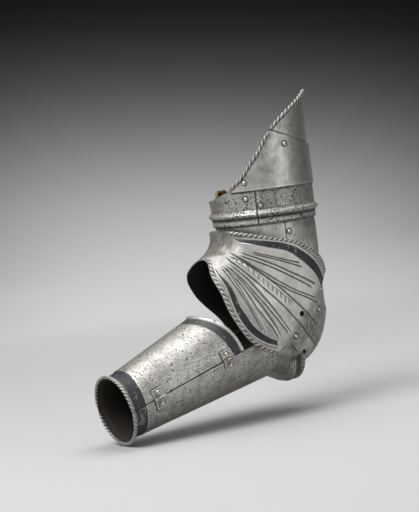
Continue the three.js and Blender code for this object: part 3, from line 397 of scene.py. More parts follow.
# Fasteners
RIVET_RADIUS = 2.3
RIVET_DOME = 1.5
RIVET_FOOT_RADIUS = 1.9
RIVET_FOOT = 0.7
RIVET_SHANK_RADIUS = 1.1
RIVET_MARGIN = 0.2
DOME_SIDES = 32
DOME_RINGS = 8
ASKEW = [0.3, 0.5, 0.8]  # a direction that is along no rivet
HARD_ROUNDING = 0.3
BUCKLE_ROUNDING = 0.35
STRAP_ROUNDING = 0.5
ROUNDING_SEGMENTS = 3
LEAF_STEP = 0.6
LEAF_ROUNDS = 5  # of halving the long edges of a leaf
# A hinge leaf gets a painted highlight on its rim and a dark line inside it
LEAF_RIM = 0.8
LEAF_GROOVE = 0.45

# Colours
BRIGHT_STEEL = (0.76, 0.745, 0.7)
DULL_STEEL = (0.34, 0.33, 0.3)
# Painted highlight, laid where the bright mask is: on glints, crests, ridges, rolls and rims, and as a sheen
# over the wing
PAINTED_HIGHLIGHT = (0.86, 0.845, 0.81)
# Dark dull steel: age on the band and the ropes, and painted shade in the crook, towards the back of the
# elbow, on the lower lame and under the cannon
AGE_AND_SHADE_COLOUR = (0.17, 0.162, 0.14)
STAIN = (0.19, 0.155, 0.11)
PIT = (0.04, 0.035, 0.028)
SLATE = (0.042, 0.045, 0.047)
SLATE_WORN = (0.24, 0.24, 0.235)
# Colour of the dark lines: painted shade in grooves, gaps, seams and under edges, and dark rings and outlines
# round rivets and hinge leaves
GROOVE = (0.035, 0.03, 0.024)
LINING = (0.022, 0.016, 0.011)
RIVET_COLOURS = ((0.75, 0.74, 0.7), (0.5, 0.49, 0.46))
HINGE_COLOURS = ((0.5, 0.485, 0.44), (0.2, 0.18, 0.145))
BRASS_COLOURS = ((0.75, 0.52, 0.16), (0.5, 0.33, 0.09))
LEATHER_COLOURS = ((0.05, 0.024, 0.012), (0.16, 0.085, 0.042))

# Noises of the steel, as scale, detail and roughness
CLOUD = (24, 4, 0.6)
MOTTLE = (105, 5, 0.68)
GRIT = (420, 3, 0.6)
BRUSHED = (1, 4, 0.55)
GRAIN = {"run": 1.1, "rise": 0.06}  # how fast the brushing changes, round and along a plate
MIDDLE = 0.5  # of a noise

# Shares and ranges of the steel: a range's two ends, then what it gives at each
SMOOTH = {"pits": 0.8, "brightness": 1.0, "streak": 0.5, "roughness": 0.38}
PITTED = {"pits": 1.0, "brightness": 0.97, "streak": 0.6, "roughness": 0.4}
TONE_SHARES = (0.45, 0.55, 0.6)  # of cloud, mottle and brushing
TONE_RANGE = (0.37, 0.63)
STAIN_CLOUD = (0.54, 0.7)
STAIN_MOTTLE = (0.42, 0.6, 0, 0.65)
AGE_AND_SHADE_TONE = (0.35, 0.65, 1, 0.55)
PIT_CELLS = 350
PIT_ROOM = (0.42, 0.64, 0.0, 0.4)
PIT_EDGE = (-0.03, 0.05, 1, 0)
FINE_CELLS = 620
FINE_ROOM = (0.4, 0.62, 0.0, 0.42)
FINE_EDGE = (-0.03, 0.05, 0.9, 0)
WORN_GRIT = 0.35
WORN_RANGE = (0.76, 0.86)
THIN_BLACK = (0.6, 0.95, 0.4, 0.0)
RUBBED = 1.6
BLACK_EDGE = (0.36, 0.48)
BLACK_START = (0.1, 0.3)
LINE_RANGE = (0.3, 0.7, 1.3, 0.9)
METAL_LOSS = (0.95, 0.45)  # where dark marks are (pits, the inside and lines that are mostly painted shade), and where black
ROUGH_RANGE = (0.3, 0.7)
ROUGH_SPREAD = (0.12, -0.04)
ROUGH_SHARES = (0.35, 0.28, 0.06)  # of dark marks, of age with painted shade, and of grit
HEIGHT_SHARES = (0.9, 0.8, 0.25, 0.2)  # of mottle, pits, brushing and grit
STEEL_BUMP = (0.0004, 0.5)  # distance in metres, and strength

# Small metal parts and leather
METAL_CLOUD = (160, 4, 0.6)
METAL_GRIT = (800, 3, 0.6)
METAL_TONE = (0.35, 0.65)
METAL_DIRT = (0.58, 0.72, 0, 0.7)
METAL_SPREAD = (0.1, -0.05)
METAL_BUMP = (0.0002, 0.5)
# Shares of a leaf's painted highlight on the rim and of its dark line
RIM_SHARE = 0.85
GROOVE_SHARE = 0.9
RIVET_ROUGHNESS = 0.22
HINGE_ROUGHNESS = 0.36
BRASS_ROUGHNESS = 0.3
LEATHER_CLOUD = (120, 4, 0.6)
LEATHER_TONE = (0.35, 0.7)
LEATHER_CELLS = 900
LEATHER_ROUGHNESS = (0.0, 0.6, 0.75, 0.5)
LEATHER_BUMP = (0.0003, 0.6)

# Camera and lamps: a lamp's place is to the right, up and towards the camera from the target
CAMERA_AZIMUTH = -32.516
CAMERA_ELEVATION = 3.754
CAMERA_ROLL = -7.066
CAMERA_DISTANCE = 2.0
CAMERA_TARGET = Vector((-0.076353, 0, 0.077051))
CAMERA_LENS = 131.045
CAMERA_SENSOR = 36
CAMERA_REACH = 100
LAMPS = {  # place, size and power
    "key": ((-1.0, 1.35, 0.95), 1.4, 30),
    "side": ((-1.5, 0.1, 0.5), 0.9, 2),
    "fill": ((1.3, 0.5, 1.2), 1.2, 5.2),
    "top": ((0.1, 1.7, -0.2), 1.6, 17),
}
WORLD_STRENGTH = 0.36

# Stage, in metres
FLOOR_Z = -0.105
FLOOR_RADII = (0, 0.6, 1.6)
STAGE_RADIUS = 3.2
STAGE_CURVE = 0.5
STAGE_STEPS = 13
STAGE_HEIGHT = 1.6
STAGE_SIDES = 96
FLOOR_COLOUR = (0.53, 0.53, 0.5353)
FLOOR_ROUGHNESS = 0.9
BACKDROP_NEAR = (0.45, 1.3)  # distances over which the lit floor gives way to the backdrop
BACKDROP_MIDDLE = -0.1
BACKDROP_WIDTH = 0.98
BACKDROP_LEAST = 0.4
BACKDROP_SHADES = [  # height across the view, and how bright the backdrop's painted light glows there
    (-0.155, 0.74), (-0.129, 0.68), (-0.09, 0.665), (-0.03, 0.65), (0.034, 0.59),
    (0.11, 0.515), (0.194, 0.43), (0.278, 0.33), (0.361, 0.235), (0.445, 0.15),
    (0.529, 0.087), (0.612, 0.047), (0.696, 0.0212), (0.766, 0.0116),
]


def cosine(degrees):
    return np.cos(np.radians(degrees))


def sine(degrees):
    return np.sin(np.radians(degrees))


def mix(low, high, share):
    return low + (high - low) * share


def eased(x):
    t = np.clip(x, 0, 1)
    return t * t * (3 - 2 * t)


def rising(x, start, span):
    """Nothing up to a start and one from a span past it, or falling where the span is negative."""
    return eased((x - start) / span)


def stack(x, y, z):
    return np.stack(np.broadcast_arrays(x, y, z), -1).astype(float)


def through(table, place):
    """A smooth line through a table of places and heights."""
    xs, ys = np.array(table, float).T
    at = np.clip(place, xs[0], xs[-1])
    nxt = np.clip(np.searchsorted(xs, at), 1, len(xs) - 1)
    low = np.maximum(np.arange(len(xs)) - 1, 0)
    high = np.minimum(np.arange(len(xs)) + 1, len(xs) - 1)
    slopes = (ys[high] - ys[low]) / (xs[high] - xs[low])
    width = xs[nxt] - xs[nxt - 1]
    t = (at - xs[nxt - 1]) / width
    rise = slopes[nxt - 1] * width * t * (1 - t) ** 2 - slopes[nxt] * width * t * t * (1 - t)
    return mix(ys[nxt - 1], ys[nxt], eased(t)) + rise


def unit(vectors):
    return vectors / np.linalg.norm(vectors, axis=-1, keepdims=True)


def normal_at(surface, u, v):
    across = surface(u + SLOPE_STEP, v) - surface(u - SLOPE_STEP, v)
    along = surface(u, v + SLOPE_STEP) - surface(u, v - SLOPE_STEP)
    return unit(np.cross(across, along))


def inside(surface, depth):
    return lambda u, v: surface(u, v) - normal_at(surface, u, v) * depth


def around(radius, turn, z):
    return stack(radius * cosine(turn), radius * sine(turn), z)


# Upper arm surfaces
def from_crest(turn):
    return np.abs((turn - CREST_ANGLE + HALF_TURN) % FULL_TURN - HALF_TURN)


def swell(z, half):
    off = (z - BEAD_Z) / half
    return np.where(np.abs(off) < 1, BEAD_RISE * np.cos(np.clip(off, -1, 1) * np.pi / 2) ** 2, 0)


def kneed(row, low, knee, high, knee_share):
    past = (row - knee_share) / (1 - knee_share)
    return np.where(row < knee_share, mix(low, knee, row / knee_share), mix(knee, high, past))


def band_top(turn):
    return mix(BAND_LOW_Z, BAND_HIGH_Z, through(BAND_TOP_SHARES, (HALF_TURN - from_crest(turn)) / HALF_TURN))


BAND_KNEE_SHARE = 0.7
SLEEVE_KNEE_SHARE = 0.6


def band_surface(turn, row):
    z = kneed(row, LIP_Z, BEAD_Z + BEAD_HALF, band_top(turn), BAND_KNEE_SHARE)
    front = eased((from_crest(turn) - SHOULDER_SPAN) / (HALF_TURN - SHOULDER_SPAN))
    lean = BAND_FLARE * front * eased((z - BEAD_Z - BEAD_HALF) / (BAND_LOW_Z - BEAD_Z - BEAD_HALF))
    return around(BAND_RADIUS + swell(z, BEAD_HALF) + lean, turn, z)


def shoulder_at(turn, z):
    up = (z - SHOULDER_LOW_Z) / (SEAM_Z - SHOULDER_LOW_Z)
    return around(SHOULDER_RADIUS - SHOULDER_LEAN * up, turn, z)


def seam_height(turn):
    return mix(SEAM_Z, TIP_Z, through(SEAM_SHARES, from_crest(turn) / SHOULDER_SPAN))


def shoulder_top(turn):
    high = seam_height(np.array(CREST_ANGLE + POINT_SPAN_SHARE * SHOULDER_SPAN))
    edge = mix(SHOULDER_LOW_Z, high, through(SHOULDER_EDGE_SHARES, from_crest(turn) / SHOULDER_SPAN))
    return np.minimum(seam_height(turn), edge)


def shoulder_surface(turn, share):
    return shoulder_at(turn, mix(SHOULDER_LOW_Z, shoulder_top(turn), share))


def tip_edge(turn):
    return mix(SEAM_Z, TIP_Z, through(TIP_EDGE_SHARES, from_crest(turn) / SHOULDER_SPAN))


def point_surface(turn, share):
    z = mix(seam_height(turn) - SEAM_OVERLAP, tip_edge(turn), share)
    up = np.maximum(0, z - seam_height(turn)) / (TIP_Z - SEAM_Z)
    return inside(shoulder_at, WALL + SEAT)(turn, z) + around(TIP_FLARE * up, turn, 0)


def sleeve_radius(turn, z):
    flange = BAND_RADIUS - WALL - 2 * PLAY
    body = mix(SLEEVE_RADIUS, flange, eased((z - LIP_Z + SLEEVE_TAPER_LENGTH) / SLEEVE_TAPER_LENGTH))
    front = eased((LIP_Z - z) / SLEEVE_TAPER_LENGTH) * ((1 - cosine(turn)) / 2) ** 2
    side = eased((SLEEVE_SIDE_Z - z) / SLEEVE_SIDE_LENGTH) * sine(turn) ** 4
    return body - SLEEVE_FRONT_TAPER * front - SLEEVE_SIDE_TAPER * side


def sleeve_surface(turn, row):
    low = SLEEVE_FRONT_Z * through(SLEEVE_LOW_SHARES, cosine(turn))
    z = kneed(row, low, LIP_Z, BEAD_Z, SLEEVE_KNEE_SHARE)
    return around(sleeve_radius(turn, z) + swell(z, FLANGE_HALF), turn, z)


# Elbow surfaces
BACKWARD = np.array([cosine(RIB_TILT), 0, -sine(RIB_TILT)])
UPWARD = np.array([sine(RIB_TILT), 0, cosine(RIB_TILT)])
FOREARM = np.array([-sine(ELBOW_BEND), 0, cosine(ELBOW_BEND)])
CROOKWARD = np.array([cosine(ELBOW_BEND), 0, sine(ELBOW_BEND)])
SIDEWARD = np.array([0, 1, 0])
ARM_AXIS = np.array([0, 0, 1])


def spread(amount, direction):
    return np.asarray(amount, float)[..., None] * direction


def rounder(value):
    return np.sign(value) * np.abs(value) ** MIDDLE_ROUNDNESS


def middle_line(turn):
    c = cosine(turn)
    reach = np.where(c > 0, ELBOW_BACK * c, ELBOW_FRONT * rounder(c))
    side = ELBOW_SIDE * np.where(c > 0, sine(turn), rounder(sine(turn)))
    rise = np.where(c > 0, 0, CREASE_RISE * c * c)
    return spread(reach, BACKWARD) + spread(side, SIDEWARD) + spread(rise, UPWARD)


def upper_edge(turn):
    c = cosine(turn)
    x = np.where(c > 0, WING_RADIUS * c, CROOK_REACH * c)
    share = np.where(sine(turn) < 0, through(WING_TOP_SHARES, c), through(BAND_INNER_SHARES, c))
    return stack(x, WING_SIDE * sine(turn), CROOK_HEIGHT * share)


def lower_edge(turn):
    c = -cosine(turn)
    share = np.where(c > 0, c, LOBE_REAR_SHARE * c)
    deep = np.where(sine(turn) < 0, through(WING_LOW_SHARES, share), through(WING_LOW_INNER_SHARES, share))
    edge = spread(LOBE_SIDE * sine(turn), SIDEWARD)
    return edge + spread(LOBE_REACH * share, CROOKWARD) + spread(LOBE_DEPTH * deep, FOREARM)


def elbow_surface(turn, share):
    across = np.asarray(2 * share - 1, float)[..., None]
    middle = middle_line(turn)
    high = upper_edge(turn)
    low = lower_edge(turn)
    bow = (high + low) / 2 - middle
    return middle + (high - low) * across / 2 + bow * across * across


def limited(point, axis, radius):
    along = point @ axis
    out = point - spread(along, axis)
    reach = np.linalg.norm(out, axis=-1)
    shrink = np.minimum(1, radius / np.maximum(reach, TINY))
    return spread(along, axis) + out * shrink[..., None]


def even_surface(turn, share):
    point = elbow_surface(-np.abs(turn), share)
    return point * stack(1, np.where(turn > 0, -1, 1), 1)


def upper_lame_surface(turn, share):
    across = mix(UPPER_LAME_LOW_SHARE, UPPER_LAME_HIGH_SHARE, share)
    point = inside(even_surface, WALL + 2 * PLAY)(turn, (across + 1) / 2)
    place = np.degrees(np.arctan2(point[..., 1], point[..., 0]))
    return limited(point, ARM_AXIS, sleeve_radius(place, point[..., 2]) - SLEEVE_WALL - 2 * PLAY)


# Forearm surfaces
def cannon_radius(t):
    share = (t - CANNON_ELBOW) / (WRIST_LENGTH - WRIST_FLARE_LENGTH - CANNON_ELBOW)
    return mix(CANNON_RADIUS, WRIST_RADIUS, share)


def in_forearm(g, y, t):
    return spread(g, CROOKWARD) + spread(y, SIDEWARD) + spread(t, FOREARM)


def ear_share(turn):
    return eased((BOWL_DEPTH * cosine(turn) - BOWL_DROP + BOWL_EAR_LOW) / BOWL_EAR_STEP)


def lower_lame_surface(turn, share):
    ear = ear_share(turn)
    t = kneed(share, mix(BOWL_EDGE, BOWL_EAR_EDGE, ear), BOWL_MOUTH, BOWL_TUCK, LOWER_LAME_KNEE_SHARE)
    g = BOWL_DEPTH * cosine(turn) - BOWL_DROP
    tucked = ear * (1 - eased((t - BOWL_EAR_DEPTH) / BOWL_EAR_DEPTH))
    ears = mix(BOWL_EAR, BOWL_EAR_TOP, eased((g + BOWL_EAR_LOW) / BOWL_EAR_LENGTH))
    y = mix(BOWL_SIDE, ears, tucked) * sine(turn)
    inner = cannon_radius(t) - WALL - 2 * PLAY - np.maximum(0, t - BOWL_MOUTH) * BOWL_TUCK_SLOPE
    free = inner + np.maximum(0, BOWL_MOUTH - t) * BOWL_SLOPE
    return limited(in_forearm(g, y, t), FOREARM, free)


def front_rim(turn):
    return mix(SEAM_RIM, CROOK_RIM, np.maximum(0, cosine(turn)) ** RIM_SWEEP)


def rear_rim(turn):
    corner = eased(1 + cosine(turn) / REAR_CORNER_SHARE)
    return REAR_RIM + REAR_RIM_SKEW * eased(-cosine(turn)) + REAR_CORNER * corner


def wrist_end(turn):
    return WRIST_LENGTH - WRIST_SKEW * cosine(turn)


def cannon_surface(rim):
    def surface(turn, share):
        end = wrist_end(turn)
        t = mix(rim(turn), end, share)
        flare = eased(1 - (end - t) / WRIST_FLARE_LENGTH) * (WRIST_RIM_RADIUS - WRIST_RADIUS)
        radius = cannon_radius(t) + flare
        return in_forearm(radius * cosine(turn), radius * sine(turn), t)
    return surface


front_surface = cannon_surface(front_rim)
rear_surface = cannon_surface(rear_rim)


# Meshes
def hump(distance, middle, width):
    """One at a distance of middle, fading out on both sides over a width."""
    return np.exp(-((distance - middle) / width) ** 2)


def most(*values):
    """The largest of some masks, place by place."""
    return functools.reduce(np.maximum, values)


def drawn(distance, *rows):
    """Soft lines along a distance, each given by its strength, its place and its width."""
    return most(*(strength * hump(distance, place, width) for strength, place, width in rows))


def joined_spans(spans):
    """Even steps over one span after another."""
    first, *others = (np.linspace(*span) for span in spans)
    return np.concatenate([first] + [steps[1:] for steps in others])


def places_of(piece):
    """The vertices of a piece, in millimetres."""
    return np.array([v.co for v in piece.data.vertices], float) / MM


def add_masks(mesh, masks):
    for key, values in masks.items():
        layer = mesh.attributes.new(key, "FLOAT", "POINT")
        layer.data.foreach_set("value", np.ascontiguousarray(values, np.float32))


def smooth(mesh):
    mesh.polygons.foreach_set("use_smooth", [True] * len(mesh.polygons))
    mesh.set_sharp_from_angle(angle=math.radians(SHARP_ANGLE))


def link(name, mesh):
    piece = bpy.data.objects.new(name, mesh)
    bpy.context.scene.collection.objects.link(piece)
    return piece


def assign(piece, material):
    piece.data.materials.clear()
    piece.data.materials.append(material)


def dress(piece, body, material, node_name=None):
    """Makes a piece ride on a body, and stand for a node where one is named."""
    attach(piece, body)
    if node_name:
        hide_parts(node_name)
    assign(piece, material)
    return piece


def plate_mesh(name, places, faces, masks):
    """A smooth-shaded mesh from places in millimetres, with one float attribute per mask."""
    mesh = bpy.data.meshes.new(name)
    mesh.from_pydata((places * MM).tolist(), [], faces)
    add_masks(mesh, masks)
    smooth(mesh)
    mesh.update()
    return mesh


def mesh_of(work, name):
    """The finished mesh of a bmesh."""
    bmesh.ops.recalc_face_normals(work, faces=work.faces)
    mesh = bpy.data.meshes.new(name)
    work.to_mesh(mesh)
    work.free()
    return mesh


def turned_mesh(name, outline, place, sides):
    """A smooth mesh turned round an axis, from radii and heights along it."""
    work = bmesh.new()
    rings = []
    for radius, height in outline:
        turns = np.linspace(0, 2 * np.pi, sides, endpoint=False)[: sides if radius > TINY else 1]
        rings.append([work.verts.new(Vector(place(radius, height, turn))) for turn in turns])
    for first, second in zip(rings, rings[1:]):
        for k in range(sides):
            near, far = k, (k + 1) % sides
            corners = [first[near % len(first)], first[far % len(first)]]
            corners += [second[far % len(second)], second[near % len(second)]]
            corners = list(dict.fromkeys(corners))
            if len(corners) > 2:
                work.faces.new(corners)
    mesh = mesh_of(work, name)
    smooth(mesh)
    return mesh


def real_mesh(piece):
    """Puts a piece's modifiers into its mesh."""
    bpy.context.view_layer.update()
    whole = piece.evaluated_get(bpy.context.evaluated_depsgraph_get())
    mesh = bpy.data.meshes.new_from_object(whole)
    piece.modifiers.clear()
    piece.data = mesh


def cut_away(piece, *cutters):
    """Cuts closed meshes out of a piece, and removes the cutters."""
    for cutter in cutters:
        cut = piece.modifiers.new(cutter.name, "BOOLEAN")
        cut.operation = "DIFFERENCE"
        cut.solver = "EXACT"
        cut.object = cutter
    real_mesh(piece)
    for cutter in cutters:
        bpy.data.objects.remove(cutter)


def prism(outline, near, far):
    """A prism along Y over an outline in the elbow plate's own directions, for cutting."""
    flat = [BACKWARD * e + UPWARD * p for e, p in outline]
    work = bmesh.new()
    rings = [[work.verts.new((x * MM, y * MM, z * MM)) for x, _, z in flat] for y in (near, far)]
    work.faces.new(rings[0])
    work.faces.new(rings[1][::-1])
    for i in range(len(flat)):
        j = (i + 1) % len(flat)
        work.faces.new([rings[0][j], rings[0][i], rings[1][i], rings[1][j]])
    return link("cutter", mesh_of(work, "cutter"))


def quads(a, b, c, d):
    return np.stack([a.ravel(), b.ravel(), c.ravel(), d.ravel()], -1).tolist()


def shell_faces(columns, rows, ring):
    """Faces of a closed shell whose outer places come first and whose inner places follow."""
    index = np.arange(columns * rows).reshape(columns, rows)
    if ring:
        index = np.vstack([index, index[:1]])
    under = index + columns * rows
    low, high = index[:-1], index[1:]
    low_in, high_in = under[:-1], under[1:]
    faces = quads(low[:, :-1], high[:, :-1], high[:, 1:], low[:, 1:])
    faces += quads(low_in[:, :-1], low_in[:, 1:], high_in[:, 1:], high_in[:, :-1])
    faces += quads(low[:, -1], high[:, -1], high_in[:, -1], low_in[:, -1])
    faces += quads(low[:, 0], low_in[:, 0], high_in[:, 0], high[:, 0])
    if not ring:
        faces += quads(index[-1, :-1], under[-1, :-1], under[-1, 1:], index[-1, 1:])
        faces += quads(index[0, :-1], index[0, 1:], under[0, 1:], under[0, :-1])
    return faces


class Sheet:
    """A grid of places on a surface, with what its masks and reliefs need."""

    def __init__(self, surface, turns, shares, ring=False):
        self.surface = surface
        self.turns = turns
        self.ring = ring
        self.turn, self.share = np.meshgrid(turns, shares, indexing="ij")
        self.place = surface(self.turn, self.share)
        self.height = self.place[..., 2]
        self.normal = normal_at(surface, self.turn, self.share)
        steps = np.linalg.norm(np.diff(self.place, axis=1), axis=-1)
        self.from_low = np.concatenate([np.zeros((len(turns), 1)), np.cumsum(steps, axis=1)], axis=1)
        self.from_high = self.from_low[:, -1:] - self.from_low
        self.from_ends = np.minimum(self.turn - turns[0], turns[-1] - self.turn)  # in degrees


def even_sheet(name, surface, start, end):
    """A sheet from one turn to another, with the columns and rows of its name."""
    columns, rows = GRIDS[name]
    return Sheet(surface, np.linspace(start, end, columns), np.linspace(0, 1, rows))


# Dark rings and outlines
def rivet_rings(places):
    """A dark ring round every rivet head."""
    ring = np.zeros(places.shape[:-1])
    for name, piece in frame["nodes"].items():
        if "rivet" in name or "pivot" in name:
            off = np.linalg.norm(places - places_of(piece).mean(0), axis=-1)
            ring = most(ring, drawn(off, RIVET_RING))
    return ring


def leaf_frame(name):
    """The middle of a hinge leaf, its directions along and across the forearm, and its half sizes."""
    places = places_of(frame["nodes"][name])
    middle = (places.max(0) + places.min(0)) / 2
    out = middle - spread(middle @ FOREARM, FOREARM)
    across = np.cross(FOREARM, unit(out))
    flat = np.stack([places @ FOREARM, places @ across], -1)
    low, high = flat.min(0), flat.max(0)
    shift = (low + high) / 2 - np.array([middle @ FOREARM, middle @ across])
    return middle + shift[0] * FOREARM + shift[1] * across, FOREARM, across, (high - low) / 2


def past_leaf(places, name):
    """How far places lie past the sides of a hinge leaf, along and across it."""
    middle, along, across, half = leaf_frame(name)
    return np.abs(np.stack([(places - middle) @ along, (places - middle) @ across], -1)) - half


def hinge_outlines(places):
    """A dark line along the outline of every hinge leaf."""
    dark_marks = np.zeros(places.shape[:-1])
    for leaf in LEAVES:
        middle, _, _, half = leaf_frame(leaf)
        beyond = np.linalg.norm(np.maximum(past_leaf(places, leaf), 0), axis=-1)
        close = np.linalg.norm(places - middle, axis=-1) < 2 * half.sum()
        dark_marks = most(dark_marks, drawn(beyond, LEAF_OUTLINE) * close)
    return dark_marks


# Plates and ropes
def plate_piece(name, sheet, body, material, node_name, masks, relief=0, wall=WALL):
    """A plate under a sheet, raised by a relief, with its masks on the outer side."""
    outer = sheet.place + sheet.normal * (relief + np.zeros(sheet.turn.shape))[..., None]
    inner = sheet.place - sheet.normal * wall
    places = np.concatenate([outer.reshape(-1, 3), inner.reshape(-1, 3)])
    blank = np.zeros(sheet.turn.size)
    attributes = {"lining": np.concatenate([blank, blank + 1])}
    masks = {**masks, "line": most(masks.get("line", 0), rivet_rings(outer), hinge_outlines(outer))}
    for key in MASKS:
        values = masks.get(key, 0) + np.zeros(sheet.turn.shape)
        attributes[key] = np.concatenate([values.ravel(), blank])
    attributes["run"] = np.tile(np.radians(sheet.turn).ravel() * GRAIN_RADIUS, 2)
    attributes["rise"] = np.tile(sheet.from_low.ravel(), 2)
    faces = shell_faces(*sheet.turn.shape, sheet.ring)
    piece = link(name, plate_mesh(name, places, faces, attributes))
    return dress(piece, body, material, node_name)


def lengths_along(path):
    """The distance of every point of a path from its start."""
    return np.concatenate([[0], np.cumsum(np.linalg.norm(np.diff(path, axis=0), axis=1))])


def walked(path, values, at):
    """Values known at the points of a path, worked out at distances from its start."""
    lengths = lengths_along(path)
    return np.stack([np.interp(at, lengths, row) for row in values.T], -1)


def rope_piece(name, path, normals, body, material, radius=ROPE_RADIUS, pitch=ROPE_PITCH):
    """Twisted strands along a path on a plate's edge."""
    length = lengths_along(path)[-1]
    count = int(length / ROPE_STEP)
    at = np.linspace(0, length, count)
    path, up = walked(path, path, at), walked(path, normals, at)
    along = unit(np.gradient(path, axis=0))
    side = unit(np.cross(along, up))
    up = np.cross(side, along)
    turn = np.linspace(0, 2 * np.pi, ROPE_SIDES, endpoint=False)
    strand = np.abs(np.cos(turn[None, :] + np.pi * at[:, None] / pitch))
    taper = np.minimum(1, np.minimum(at, at[-1] - at) / ROPE_TAPER)[:, None]
    reach = radius * (1 - ROPE_DEPTH * (1 - strand)) * mix(ROPE_END_SHARE, 1, taper)
    round_it = np.cos(turn)[None, :, None] * up[:, None] + np.sin(turn)[None, :, None] * side[:, None]
    places = (path[:, None] + reach[..., None] * round_it).reshape(-1, 3)
    index = np.arange(count * ROPE_SIDES).reshape(count, ROPE_SIDES)
    nxt = np.roll(index, -1, axis=1)
    faces = quads(index[:-1], nxt[:-1], nxt[1:], index[1:])
    faces += [index[0, ::-1].tolist(), index[-1].tolist()]
    masks = {key: np.zeros(len(places)) for key in [*MASKS, "lining"]}
    # Painted shade between the strands and a painted highlight on their crests
    masks["line"] = (1 - eased(strand / STRAND_VALLEY) ** 2).ravel()
    masks["bright"] = ROPE_BRIGHT * rising(strand, STRAND_CREST, 1 - STRAND_CREST).ravel()
    masks["age_and_shade"] = np.full(len(places), ROPE_AGED)
    masks["run"] = np.repeat(at, ROPE_SIDES)
    masks["rise"] = np.tile(turn * radius, count)
    return dress(link(name, plate_mesh(name, places, faces, masks)), body, material)


def edge_rope(name, surface, turns, high, body, material, setback=ROPE_SETBACK, lift=0, **sizes):
    """A rope along the high or the low edge of a surface, set back a little from it."""
    edge = np.full(len(turns), 1.0 if high else 0.0)
    step = surface(turns, edge + SLOPE_STEP) - surface(turns, edge - SLOPE_STEP)
    back = setback * 2 * SLOPE_STEP / np.linalg.norm(step, axis=1)
    share = edge - back if high else edge + back
    normals = normal_at(surface, turns, share)
    rope_piece(name, surface(turns, share) + normals * lift, normals, body, material, **sizes)


# Lines drawn on the elbow plate
def band_mask(distance, start, width, soft=BAND_SOFT):
    return rising(distance, start, soft) * rising(distance, start + width, -soft)


def line_distance(x, z, points):
    """Distance of places from a broken line, and the share of its length they lie beside."""
    points = np.array(points, float)
    starts = lengths_along(points)
    best = np.full(x.shape, FAR_OFF)
    share = np.zeros(x.shape)
    for (ax, az), (bx, bz), length, start in zip(points[:-1], points[1:], np.diff(starts), starts):
        t = np.clip(((x - ax) * (bx - ax) + (z - az) * (bz - az)) / length ** 2, 0, 1)
        off = np.hypot(x - ax - t * (bx - ax), z - az - t * (bz - az))
        nearer = off < best
        best = np.where(nearer, off, best)
        share = np.where(nearer, (start + t * length) / starts[-1], share)
    return best, share


def near_line(x, z, points, width):
    """One on a broken line and nothing beside it, fading out at its ends."""
    off, share = line_distance(x, z, points)
    return hump(off, 0, width) * rising(share, *LINE_END) * rising(share, *LINE_START)


def between(first, second):
    """The line midway between two broken lines."""
    sides = []
    for points in (np.array(first, float), np.array(second, float)):
        sides.append(walked(points, points, np.linspace(0, lengths_along(points)[-1], BETWEEN_POINTS)))
    return sum(sides) / 2


# Materials
def feed(socket, value):
    """Gives a socket a number, a colour or another node's value."""
    if isinstance(value, Value):
        socket.id_data.links.new(value.socket, socket)
    else:
        socket.default_value = (*value, 1) if isinstance(value, tuple) else value


def node(tree, kind, **settings):
    """A new node, whose settings name its sockets or its own choices."""
    made = tree.nodes.new(kind)
    for key, value in settings.items():
        if key in made.inputs:
            feed(made.inputs[key], value)
        else:
            setattr(made, key, value)
    return made


class Value:
    """What a node gives, which can be added, taken away, multiplied and divided."""

    def __init__(self, socket):
        self.socket = socket

    def worked(self, operation, first, second):
        made = node(self.socket.id_data, "ShaderNodeMath", operation=operation)
        feed(made.inputs[0], first)
        feed(made.inputs[1], second)
        return Value(made.outputs[0])

    def __add__(self, other):
        return self.worked("ADD", self, other)

    def __sub__(self, other):
        return self.worked("SUBTRACT", self, other)

    def __rsub__(self, other):
        return self.worked("SUBTRACT", other, self)

    def __mul__(self, other):
        return self.worked("MULTIPLY", self, other)

    def __truediv__(self, other):
        return self.worked("DIVIDE", self, other)

    def most(self, other):
        return self.worked("MAXIMUM", self, other)

    def clamped(self):
        self.socket.node.use_clamp = True
        return self

    def ramp(self, low, high, start=0.0, end=1.0):
        """Remaps a value between low and high to between start and end."""
        limits = {"From Min": low, "From Max": high, "To Min": start, "To Max": end}
        made = node(self.socket.id_data, "ShaderNodeMapRange", clamp=True, Value=self, **limits)
        return Value(made.outputs[0])


